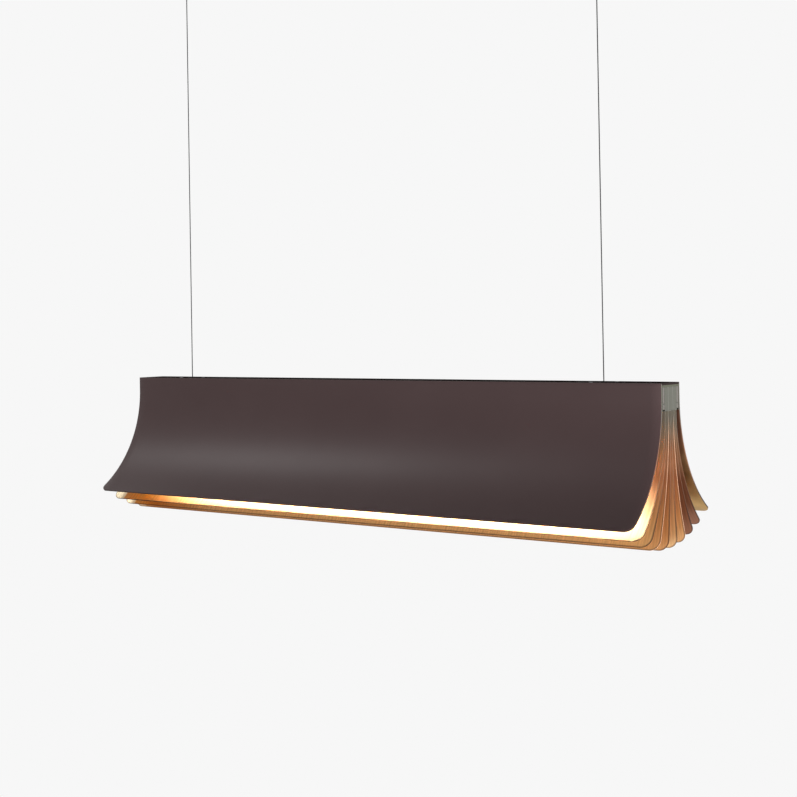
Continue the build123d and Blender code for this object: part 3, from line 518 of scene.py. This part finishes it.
def cap_screw_tree(sizes):
    """Slotted countersunk screws on two diagonals, each slot left at its own angle."""
    tree, given = start_growth("cap screws", sizes)
    cone = {"Vertices": given["Facets"], "Radius Top": given["Head Radius"]}
    cone = {**cone, "Radius Bottom": given["Shank Radius"], "Depth": given["Head Height"]}
    cone = add(tree, "MeshCone", cone)
    sunk = add(tree, "Math", (given["Head Height"], -1.0), operation="MULTIPLY")
    sunk = add(tree, "CombineXYZ", {"Z": sunk})
    head = add(tree, "Transform", {"Geometry": cone, "Translation": sunk})
    stem_length = add(tree, "Math", (given["Length"], given["Head Height"]), operation="SUBTRACT")
    stem = {"Vertices": given["Facets"], "Radius": given["Shank Radius"], "Depth": stem_length}
    stem = add(tree, "MeshCylinder", stem)
    middle = add(tree, "Math", (stem_length, -0.5), operation="MULTIPLY")
    middle = add(tree, "Math", (middle, given["Head Height"]), operation="SUBTRACT")
    middle = add(tree, "CombineXYZ", {"Z": middle})
    stem = add(tree, "Transform", {"Geometry": stem, "Translation": middle})
    # The slot's cutter is longer than the head, and its lower half goes into it.
    wide = add(tree, "Math", (given["Head Radius"], 3.0), operation="MULTIPLY")
    deep = add(tree, "Math", (given["Slot Depth"], 2.0), operation="MULTIPLY")
    slot = add(tree, "MeshCube", {"Size": add(tree, "CombineXYZ", (wide, given["Slot Width"], deep))})
    cut = add(tree, "MeshBoolean", {"Mesh 1": head, "Mesh 2": slot}, operation="DIFFERENCE")
    screw = add(tree, "JoinGeometry", ([cut, stem],))

    # Points 0 to 3 are the left pair and then the right pair, each on a diagonal about its cable.
    points = add(tree, "Points", {"Count": 4})
    number = add(tree, "InputIndex")
    side = add(tree, "Math", (number, 2.0), operation="DIVIDE")
    side = add(tree, "Math", (side,), operation="FLOOR")
    side = add(tree, "Math", (side, 2.0, -1.0), operation="MULTIPLY_ADD")
    which = add(tree, "Math", (number, 2.0), operation="MODULO")
    which = add(tree, "Math", (which, 2.0, -1.0), operation="MULTIPLY_ADD")
    half = add(tree, "Math", (given["Spacing"], 0.5), operation="MULTIPLY")
    along = add(tree, "Math", (half, side), operation="MULTIPLY")
    along = add(tree, "Math", (which, given["Offset Along"], along), operation="MULTIPLY_ADD")
    aside = add(tree, "Math", (which, given["Offset Across"]), operation="MULTIPLY")
    spot = add(tree, "CombineXYZ", (along, aside, given["Top"]))
    points = add(tree, "SetPosition", {"Geometry": points, "Position": spot})
    angle = add(tree, "FunctionNodeRandomValue", {"Min": 0.0, "Max": pi, "Seed": 5}, data_type="FLOAT")
    turn = add(tree, "CombineXYZ", {"Z": angle})
    screws = add(tree, "InstanceOnPoints", {"Points": points, "Instance": screw, "Rotation": turn})
    return end_growth(tree, screws, given["Screw Finish"])


zinc = zinc_plated_steel()
cable_radius = 0.00075
cable_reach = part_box("suspension_cable_right")[1].x - cable_radius
screw_sizes = {
    "Spacing": 2 * cable_reach,
    "Offset Along": 0.013,
    "Offset Across": 0.010,
    "Top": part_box("cap_screws")[1].z,
    "Head Radius": 0.0028,
    "Shank Radius": 0.0015,
    "Head Height": 0.0013,
    "Length": 0.009,
    "Slot Width": 0.0006,
    "Slot Depth": 0.0005,
    "Facets": 48,
    "Screw Finish": zinc,
}
cap_screws = grown("countersunk_cap_screws", cap_screw_tree, screw_sizes)
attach(cap_screws, "lamp")
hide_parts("cap_screws")
dress(zinc, "tie_bolts", "tie_nuts", "driver_screws", "hanger_nuts")


# Light: a flexible strip in the slot of each profile, behind a snap-in diffuser of opal acrylic. Both
# shine down between an outer sheet and the leaves. A long lamp in each gap carries that light to the
# outermost leaf's lower edge, where it leaves a bright band below the sheet.
def opal_acrylic_lit():
    """Opal acrylic with light behind it: an even warm white glow and a soft haze."""
    finish, tree, place = start_finish("opal_acrylic_lit")
    haze = add(tree, "TexNoise", {"Vector": place, "Scale": 300.0})
    glow = {"Emission Color": "#fff0d8", "Emission Strength": 2.5}
    return end_finish(finish, haze, ("#f3efe6", "#fbf8f0"), 0.35, look=glow)


def phosphor_silicone():
    """Yellow phosphor under clear silicone: chips of 5 mm in a soft glossy ridge."""
    finish, tree, place = start_finish("phosphor_silicone")
    chips = add(tree, "TexWave", {"Vector": place, "Scale": 31.4}, bands_direction="X").outputs["Fac"]
    tone = add(tree, "Mix", (chips, "#d8b64e", "#f0dc96"), data_type="RGBA")
    return end_finish(finish, None, tone, 0.25, look={"Emission Strength": 2.0, "Emission Color": tone})


dress(opal_acrylic_lit(), "diffuser_front", "diffuser_back")
dress(phosphor_silicone(), "light_strip_front", "light_strip_back")
gap_across = 0.024
gap_down = 0.060
gap_lean = radians(26)
gap_reach = (-0.31, 0.39)
for end, side, power in (("front", -1.0, 9.0), ("back", 1.0, 1.5)):
    glow = bpy.data.lights.new(f"strip_light_{end}", "AREA")
    glow.shape = "RECTANGLE"
    glow.size = gap_reach[1] - gap_reach[0]
    glow.size_y = 0.005
    glow.energy = power
    glow.color = linear("#fff6e8")[:3]
    glow.spread = radians(100)
    holder = placed(f"strip_light_{end}", glow)
    holder.location = (sum(gap_reach) / 2, side * gap_across, lamp_top - gap_down)
    holder.rotation_euler = (side * gap_lean, 0.0, 0.0)
    holder.visible_camera = False
    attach(holder, "lamp")


# Cable anchors: glass-filled nylon blocks across the spine, bored for brass barrels that turn in them.
# Brass plates rub on the barrels' ends and feed the current to two insulated leads.
def glass_filled_nylon():
    """Moulded glass-filled nylon: off-white, matt, with short pale fibres near the surface."""
    finish, tree, place = start_finish("glass_filled_nylon")
    fibres = add(tree, "Mapping", {"Vector": place, "Scale": (1.0, 4.0, 1.0)})
    fibres = add(tree, "TexNoise", {"Vector": fibres, "Scale": 700.0, "Detail": 4.0})
    soft = {"Subsurface Weight": 0.1}
    return end_finish(finish, fibres, ("#cfcabc", "#e6e2d6"), 0.55, (0.15, 0.0001), soft)


def turned_brass():
    """Bare turned brass: warm metal, a little dulled, with fine tool lines drawn 0.6 mm apart."""
    finish, tree, place = start_finish("turned_brass")
    lines = {"Vector": place, "Scale": 500.0, "Distortion": 0.6}
    lines = add(tree, "TexWave", lines, bands_direction="X").outputs["Fac"]
    return end_finish(finish, lines, ("#b08a42", "#caa65c"), (0.25, 0.4), (0.1, 0.00005), {"Metallic": 1.0})


def silicone_insulation():
    """Extruded silicone insulation, red-brown and slightly waxy, with a faint flow grain."""
    finish, tree, place = start_finish("silicone_insulation")
    grain = add(tree, "TexNoise", {"Vector": place, "Scale": 500.0})
    return end_finish(finish, grain, ("#6e3a2c", "#7d4535"), (0.4, 0.55), look={"Sheen Weight": 0.1})


dress(glass_filled_nylon(), "anchor_blocks", "ball_seats")
dress(turned_brass(), "cross_barrels", "contact_plates")
dress(silicone_insulation(), "feed_leads")


# Cables: 1.5 mm stainless rope, darkened, laid from six strands round a core. Each runs taut from its
# gripper's mouth to a ball pressed on its lower end, which sits in a cross barrel.
def darkened_steel_rope():
    """Blackened stainless strands: dark grey metal, brighter where the strands' crowns are rubbed."""
    finish, tree, place = start_finish("darkened_steel_rope")
    # Wires of 0.16 mm are drawn as a grain of 0.6 mm.
    wires = add(tree, "TexNoise", {"Vector": place, "Scale": 1600.0})
    return end_finish(finish, wires, ("#141414", "#242424"), (0.35, 0.55), (0.3, 0.0001), {"Metallic": 0.3})


def laid_rope_tree(sizes):
    """Strands laid round a path: a lobed section that turns once in each lay length."""
    tree, given = start_growth("laid rope", sizes)
    path = add(tree, "ObjectInfo", {"Object": given["Route"]}).outputs["Geometry"]
    path = add(tree, "ResampleCurve", {"Curve": path, "Length": given["Step"]}, mode="LENGTH")
    gone = add(tree, "SplineParameter").outputs["Length"]
    turns = add(tree, "Math", (gone, given["Lay Length"]), operation="DIVIDE")
    tilt = add(tree, "Math", (turns, 2 * pi), operation="MULTIPLY")
    path = add(tree, "SetCurveTilt", {"Curve": path, "Tilt": tilt})
    ring = add(tree, "CurvePrimitiveCircle", {"Resolution": given["Facets"], "Radius": given["Radius"]})
    round_share = add(tree, "SplineParameter").outputs["Factor"]
    lobes = add(tree, "Math", (round_share, given["Strands"]), operation="MULTIPLY")
    lobes = add(tree, "Math", (lobes, 2 * pi), operation="MULTIPLY")
    lobes = add(tree, "Math", (lobes,), operation="COSINE")
    lobes = add(tree, "Math", (lobes, 0.5, -0.5), operation="MULTIPLY_ADD")
    groove = add(tree, "Math", (given["Groove"], given["Radius"]), operation="DIVIDE")
    lobes = add(tree, "Math", (lobes, groove, 1.0), operation="MULTIPLY_ADD")
    spot = add(tree, "InputPosition")
    spot = add(tree, "VectorMath", (spot, lobes), operation="SCALE")
    ring = add(tree, "SetPosition", {"Geometry": ring, "Position": spot})
    rope = add(tree, "CurveToMesh", {"Curve": path, "Profile Curve": ring, "Fill Caps": True})
    return end_growth(tree, rope, given["Rope Finish"])


rope_finish = darkened_steel_rope()
cable_length = 0.60265
cable_exit_height = -0.070
cable_sides = (("left", -1.0), ("right", 1.0))
for end, side in cable_sides:
    exit_place = Vector((side * cable_reach, 0.0, cable_exit_height))
    run = bpy.data.curves.new(f"cable_route_{end}", "CURVE")
    run.dimensions = "3D"
    spline = run.splines.new("NURBS")
    drops = (0.0, 0.2, 0.4, cable_length)
    spline.points.add(len(drops) - 1)
    for point, drop in zip(spline.points, drops):
        point.co = (*(exit_place - Vector((0.0, 0.0, drop))), 1.0)
    spline.order_u = 3
    spline.use_endpoint_u = True
    route = placed(f"cable_route_{end}", run)
    seen = route.evaluated_get(bpy.context.evaluated_depsgraph_get())
    centre_line = bpy.data.meshes.new_from_object(seen)
    rope_sizes = {
        "Radius": cable_radius,
        "Groove": 0.00012,
        "Lay Length": 0.010,
        "Step": 0.0010,
        "Strands": 6,
        "Facets": 24,
        "Rope Finish": rope_finish,
        "Route": route,
    }
    rope = grown(f"steel_rope_{end}", laid_rope_tree, rope_sizes, sharp_over=80)
    bpy.data.objects.remove(route)
    bpy.data.meshes.remove(centre_line)
    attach(rope, f"cable_{end}")
    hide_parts(f"suspension_cable_{end}")
    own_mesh(rope)
dress(rope_finish, "gripped_cables", "cable_tail_left", "cable_tail_right")


# Grippers: turned brass, nickel plated. A ball head hangs in the canopy's nylon seat, three small balls
# wedge on the cable inside the barrel, and the ribbed nipple below is pushed up to let the cable slip.
def satin_nickel_plate():
    """Satin nickel over turned brass: a warm grey metal with fine rings left by the lathe."""
    finish, tree, place = start_finish("satin_nickel_plate")
    # Tool rings are 0.08 mm apart and are drawn at 0.4 mm.
    rings = {"Vector": place, "Scale": 780.0, "Distortion": 0.4}
    rings = add(tree, "TexWave", rings, bands_direction="Z").outputs["Fac"]
    return end_finish(finish, rings, ("#a8a29a", "#bdb8b0"), (0.26, 0.36), (0.08, 0.00005), {"Metallic": 1.0})


def ribbed_ring_tree(sizes):
    """Upright ribs in a ring about each of a number of centres, with none over the pin holes."""
    tree, given = start_growth("ribbed ring", sizes)
    tall = add(tree, "Math", (given["High"], given["Low"]), operation="SUBTRACT")
    middle = add(tree, "Math", (given["High"], given["Low"]), operation="ADD")
    middle = add(tree, "Math", (middle, 0.5), operation="MULTIPLY")
    rib = {"Vertices": 4, "Radius Top": 0.5, "Radius Bottom": 0.5, "Depth": 1.0}
    rib = add(tree, "MeshCone", rib)
    centred = add(tree, "Transform", {"Geometry": rib, "Translation": (0.0, 0.0, -0.5)})
    rib_size = add(tree, "CombineXYZ", (given["Rib Depth"], given["Rib Width"], tall))
    rib = add(tree, "Transform", {"Geometry": centred, "Scale": rib_size})
    ring = add(tree, "MeshCircle", {"Vertices": given["Ribs"], "Radius": given["Radius"]})
    spot = add(tree, "SeparateXYZ", (add(tree, "InputPosition"),))
    angle = add(tree, "Math", (spot.outputs["Y"], spot.outputs["X"]), operation="ARCTAN2")
    turn = add(tree, "CombineXYZ", {"Z": angle})
    share = add(tree, "Math", (angle, 1 / (2 * pi), 1.0), operation="MULTIPLY_ADD")
    share = add(tree, "Math", (share, given["Gaps"]), operation="MULTIPLY")
    share = add(tree, "Math", (share,), operation="FRACT")
    off_gap = add(tree, "Math", (share, 0.5), operation="SUBTRACT")
    off_gap = add(tree, "Math", (off_gap,), operation="ABSOLUTE")
    shown = add(tree, "Math", (off_gap, given["Gap Half Angle"]), operation="GREATER_THAN")
    ribs = {"Points": ring, "Selection": shown, "Instance": rib, "Rotation": turn}
    ribs = add(tree, "InstanceOnPoints", ribs)
    apart = add(tree, "CombineXYZ", {"X": given["Spacing"]})
    start = add(tree, "CombineXYZ", {"X": given["Centre Along"], "Z": middle})
    row = add(tree, "MeshLine", {"Count": given["Centres"], "Start Location": start, "Offset": apart})
    rings = add(tree, "InstanceOnPoints", {"Points": row, "Instance": ribs})
    return end_growth(tree, rings, given["Rib Finish"])


nickel = satin_nickel_plate()
nipple_ribs = {
    "Spacing": 0.0,
    "Radius": 0.0032,
    "Low": -0.0718,
    "High": -0.0686,
    "Rib Width": 0.0004,
    "Rib Depth": 0.0004,
    "Gap Half Angle": -1.0,
    "Ribs": 30,
    "Centres": 1,
    "Gaps": 1,
    "Rib Finish": nickel,
}
for end, side in cable_sides:
    ribs = grown(f"nipple_ribs_{end}", ribbed_ring_tree, {**nipple_ribs, "Centre Along": side * cable_reach})
    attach(ribs, f"release_{end}")
    plated = ("gripper_head", "gripper_barrel", "release_sleeve", "hanger_tube")
    dress(nickel, *(f"{piece}_{end}" for piece in plated))
    dress(zinc, f"grip_balls_{end}", f"cable_end_{end}")


# Release springs: hard-drawn stainless wire, coiled with closed ends. Each one stands between the barrel's
# shoulder and the nipple's sleeve, and is pressed shorter when the nipple is pushed up.
def hard_drawn_spring_wire():
    """Hard-drawn stainless wire: bright, smooth metal with a slightly smoked, uneven sheen from coiling."""
    finish, tree, place = start_finish("hard_drawn_spring_wire")
    smoke = add(tree, "TexNoise", {"Vector": place, "Scale": 900.0, "Detail": 3.0})
    return end_finish(finish, smoke, ("#8d8a84", "#b1afaa"), (0.22, 0.34), look={"Metallic": 1.0})


def spring_tree(sizes):
    """A round wire coiled about an upright line, its coils closer together at both ends."""
    tree, given = start_growth("release spring", sizes)
    path = add(tree, "CurvePrimitiveLine")
    path = add(tree, "ResampleCurve", {"Curve": path, "Count": given["Points"]})
    share = add(tree, "SplineParameter").outputs["Factor"]
    whole_turn = add(tree, "Math", (share, 2 * pi), operation="MULTIPLY")
    angle = add(tree, "Math", (whole_turn, given["Turns"]), operation="MULTIPLY")
    along = add(tree, "Math", (angle,), operation="COSINE")
    along = add(tree, "Math", (along, given["Coil Radius"], given["Centre Along"]), operation="MULTIPLY_ADD")
    aside = add(tree, "Math", (angle,), operation="SINE")
    aside = add(tree, "Math", (aside, given["Coil Radius"]), operation="MULTIPLY")
    closing = add(tree, "Math", (whole_turn,), operation="SINE")
    closing = add(tree, "Math", (closing, given["End Closing"]), operation="MULTIPLY")
    climb = add(tree, "Math", (closing, -1 / (2 * pi), share), operation="MULTIPLY_ADD")
    lowest = add(tree, "Math", (given["Low"], given["Wire Radius"]), operation="ADD")
    highest = add(tree, "Math", (given["High"], given["Wire Radius"]), operation="SUBTRACT")
    rise = add(tree, "Math", (highest, lowest), operation="SUBTRACT")
    height = add(tree, "Math", (climb, rise, lowest), operation="MULTIPLY_ADD")
    spot = add(tree, "CombineXYZ", (along, aside, height))
    path = add(tree, "SetPosition", {"Geometry": path, "Position": spot})
    section = {"Resolution": given["Facets"], "Radius": given["Wire Radius"]}
    section = add(tree, "CurvePrimitiveCircle", section)
    wire = add(tree, "CurveToMesh", {"Curve": path, "Profile Curve": section, "Fill Caps": True})
    return end_growth(tree, wire, given["Wire Finish"])


wire_radius = 0.00025
coil_play = 0.00002
spring_low, spring_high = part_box("sleeve_spring_left")
spring_sizes = {
    "Low": spring_low.z,
    "High": spring_high.z,
    "Coil Radius": (spring_high.x - spring_low.x) / 2 - wire_radius - coil_play,
    "Wire Radius": wire_radius,
    "End Closing": 0.6,
    "Turns": 5,
    "Points": 181,
    "Facets": 16,
    "Wire Finish": hard_drawn_spring_wire(),
}
for end, side in cable_sides:
    centre = side * cable_reach
    spring = grown(f"wound_spring_{end}", spring_tree, {**spring_sizes, "Centre Along": centre})
    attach(spring, "grippers")
    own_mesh(spring)
    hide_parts(f"sleeve_spring_{end}")


# Collar nuts and hanger tubes: nickel-plated round nuts, straight-knurled between their four pin holes,
# that hold the cover up on threaded tubes. The tubes' last turns of thread show below them.
def thread_tree(sizes):
    """A few turns of thread round an upright tube, at each of two places."""
    tree, given = start_growth("hanger thread", sizes)
    tall = add(tree, "Math", (given["High"], given["Low"]), operation="SUBTRACT")
    turns = add(tree, "Math", (tall, given["Pitch"]), operation="DIVIDE")
    helix = {"Resolution": given["Facets"], "Rotations": turns, "Height": tall}
    helix = {**helix, "Start Radius": given["Radius"], "End Radius": given["Radius"]}
    helix = add(tree, "CurveSpiral", helix)
    crest = add(tree, "CurvePrimitiveCircle", {"Resolution": 6, "Radius": given["Crest"]})
    thread = add(tree, "CurveToMesh", {"Curve": helix, "Profile Curve": crest, "Fill Caps": True})
    start = add(tree, "CombineXYZ", {"X": given["Centre Along"], "Z": given["Low"]})
    apart = add(tree, "CombineXYZ", {"X": given["Spacing"]})
    row = add(tree, "MeshLine", {"Count": 2, "Start Location": start, "Offset": apart})
    threads = add(tree, "InstanceOnPoints", {"Points": row, "Instance": thread})
    return end_growth(tree, threads, given["Thread Finish"])


both_hangers = {"Centre Along": -cable_reach, "Spacing": 2 * cable_reach}
knurl_sizes = {
    **both_hangers,
    "Radius": 0.011,
    "Low": -0.0372,
    "High": -0.0344,
    "Rib Width": 0.0007,
    "Rib Depth": 0.0006,
    "Gap Half Angle": 0.075,
    "Ribs": 72,
    "Centres": 2,
    "Gaps": 4,
    "Rib Finish": nickel,
}
knurl = grown("collar_nut_knurl", ribbed_ring_tree, knurl_sizes)
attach(knurl, "canopy")
thread_sizes = {
    **both_hangers,
    "Radius": 0.0070,
    "Low": -0.0425,
    "High": -0.0393,
    "Pitch": 0.0008,
    "Crest": 0.0002,
    "Facets": 48,
    "Thread Finish": nickel,
}
thread = grown("hanger_tube_thread", thread_tree, thread_sizes)
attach(thread, "canopy")
dress(nickel, "collar_nuts")


# Canopy: a folded galvanised plate screwed to the ceiling, under a deep-drawn steel cover that is powder
# coated in the lamp's brown.
def brown_powder_coat():
    """Fine-texture powder coat: matt brown with a grain of about 0.7 mm."""
    finish, tree, place = start_finish("brown_powder_coat")
    cloud = add(tree, "TexNoise", {"Vector": place, "Scale": 12.0})
    tone = add(tree, "Mix", (cloud, "#4b3e3d", "#544545"), data_type="RGBA")
    grain = add(tree, "TexNoise", {"Vector": place, "Scale": 1500.0})
    return end_finish(finish, grain, tone, (0.5, 0.68), (0.3, 0.0002))


def galvanised_spangle():
    """Hot-dip galvanised sheet: grey metal in crystals about 8 mm wide, each with its own shade."""
    finish, tree, place = start_finish("galvanised_spangle")
    crystals = add(tree, "TexVoronoi", {"Vector": place, "Scale": 125.0}).outputs["Color"]
    shade = add(tree, "SeparateXYZ", (crystals,))
    return end_finish(finish, shade, ("#8f9496", "#b4b9ba"), (0.35, 0.55), look={"Metallic": 0.9})


dress(brown_powder_coat(), "canopy_cover")
dress(galvanised_spangle(), "ceiling_plate")


# Driver and mains terminal: a white moulded driver case with an ear at each end, a nylon terminal block
# that snaps into the plate, and a brown and a blue mains wire between them.
def moulded_polycarbonate():
    """Spark-eroded white polycarbonate: satin, with an even fine grain of about 0.5 mm."""
    finish, tree, place = start_finish("moulded_polycarbonate")
    grain = add(tree, "TexNoise", {"Vector": place, "Scale": 2000.0})
    return end_finish(finish, grain, ("#dcdcd8", "#ececea"), (0.4, 0.52), (0.2, 0.0001))


def natural_nylon():
    """Natural nylon: milky, a little see-through at thin edges, and slightly uneven in tone."""
    finish, tree, place = start_finish("natural_nylon")
    milk = add(tree, "TexNoise", {"Vector": place, "Scale": 150.0, "Detail": 3.0})
    return end_finish(finish, milk, ("#e2ddcc", "#efebdf"), 0.42, look={"Subsurface Weight": 0.2})


def mains_wire_insulation():
    """Glossy PVC insulation: brown on the live wire, on the middle line, and blue on the neutral."""
    finish, tree, place = start_finish("mains_wire_insulation")
    between_wires = 0.0025
    across = add(tree, "SeparateXYZ", (place,)).outputs["Y"]
    neutral = add(tree, "Math", (across, between_wires), operation="GREATER_THAN")
    tone = add(tree, "Mix", (neutral, "#5f3a25", "#2b5f9c"), data_type="RGBA")
    flow = add(tree, "TexNoise", {"Vector": place, "Scale": 600.0})
    return end_finish(finish, flow, tone, (0.28, 0.4))


dress(moulded_polycarbonate(), "led_driver")
dress(natural_nylon(), "terminal_block")
dress(mains_wire_insulation(), "driver_leads")


# Room: a plain pale floor well below the lamp, and pale surroundings that the camera and reflections see
# near white. Softboxes light the front from low down and from the upper left, the right end and the back.
def pale_room(tree, even_light):
    """The share of a surface or sky that shows as plain backdrop: all of it to camera and reflections."""
    rays = add(tree, "LightPath").outputs
    seen = add(tree, "Math", (rays["Is Camera Ray"], rays["Is Glossy Ray"]), operation="MAXIMUM")
    seen = add(tree, "Math", (seen, rays["Is Transmission Ray"]), operation="MAXIMUM")
    return add(tree, "Math", (seen, even_light), operation="MULTIPLY")


backdrop_colour = "#f7f7f7"
floor_height = -2.3
floor_half = 2.2
shade_radius = 0.4
shade_glow = 0.8
floor_mesh = bpy.data.meshes.new("floor")
corners = [(x * floor_half, y * floor_half, floor_height) for x, y in ((-1, -1), (1, -1), (1, 1), (-1, 1))]
floor_mesh.from_pydata(corners, [], [(0, 1, 2, 3)])
floor = placed("floor", floor_mesh)
floor_finish, tree, place = start_finish("pale_floor")
paint = add(tree, "BsdfDiffuse", {"Color": "#e6e6e6"})
glow = add(tree, "Emission", {"Color": backdrop_colour, "Strength": 1.0})
place = add(tree, "VectorMath", (place, (1.0, 1.0, 0.0)), operation="MULTIPLY")
away = add(tree, "VectorMath", (place,), operation="LENGTH")
faded = add(tree, "MapRange", (away, shade_radius, floor_half, shade_glow), interpolation_type="SMOOTHSTEP")
mixed = add(tree, "MixShader", (pale_room(tree, faded), paint, glow))
add(tree, "OutputMaterial", {"Surface": mixed})
floor_mesh.materials.append(floor_finish)

world = bpy.data.worlds.new("pale room")
bpy.context.scene.world = world
world.use_nodes = True
tree = world.node_tree
tree.nodes.clear()
fill = add(tree, "Background", {"Color": "#ffffff", "Strength": 0.16})
pale = add(tree, "Background", {"Color": backdrop_colour, "Strength": 1.0})
mixed = add(tree, "MixShader", (pale_room(tree, 1.0), fill, pale))
add(tree, "OutputWorld", {"Surface": mixed})

lamp_middle = Vector((0.0, 0.0, lamp_top - 0.1))
softboxes = (
    ("low front softbox", (0.1, -2.4, -1.8), 1.8, 21.0),
    ("upper left softbox", (-1.9, -1.1, 1.0), 0.6, 20.0),
    ("right end softbox", (2.2, -0.35, -1.2), 0.9, 66.0),
    ("back softbox", (0.9, 2.3, -0.3), 1.2, 10.0),
)
for name, spot, size, power in softboxes:
    light = bpy.data.lights.new(name, "AREA")
    light.size = size
    light.energy = power
    holder = placed(name, light)
    holder.location = spot
    holder.rotation_euler = (lamp_middle - Vector(spot)).to_track_quat("-Z", "Y").to_euler()


# Camera: in front and to the right, just above the lamp's top edge and looking level. The picture is
# shifted down a little to leave the photograph's room above the lamp.
picture_side = 797
focal_pixels = 1441.9
sensor_width = 36.0
camera_place = Vector((1.2299, -1.6061, lamp_top + 0.0759))
camera_yaw = 0.6374
camera_pitch = -0.0111
camera_roll = -0.017
picture_rise = -89.7
ahead = Vector((-sin(camera_yaw), cos(camera_yaw), 0.0)) * cos(camera_pitch)
ahead.z = -sin(camera_pitch)
level = Vector((cos(camera_yaw), sin(camera_yaw), 0.0))
upright = level.cross(ahead)
right = cos(camera_roll) * level + sin(camera_roll) * upright
up = cos(camera_roll) * upright - sin(camera_roll) * level
camera_data = bpy.data.cameras.new("camera")
camera_data.sensor_width = sensor_width
camera_data.lens = focal_pixels * sensor_width / picture_side
camera_data.shift_y = picture_rise / picture_side
camera = placed("camera", camera_data)
camera.matrix_world = Matrix.Translation(camera_place) @ Matrix((right, up, -ahead)).transposed().to_4x4()
bpy.context.scene.camera = camera
bpy.context.scene.view_settings.view_transform = "Standard"
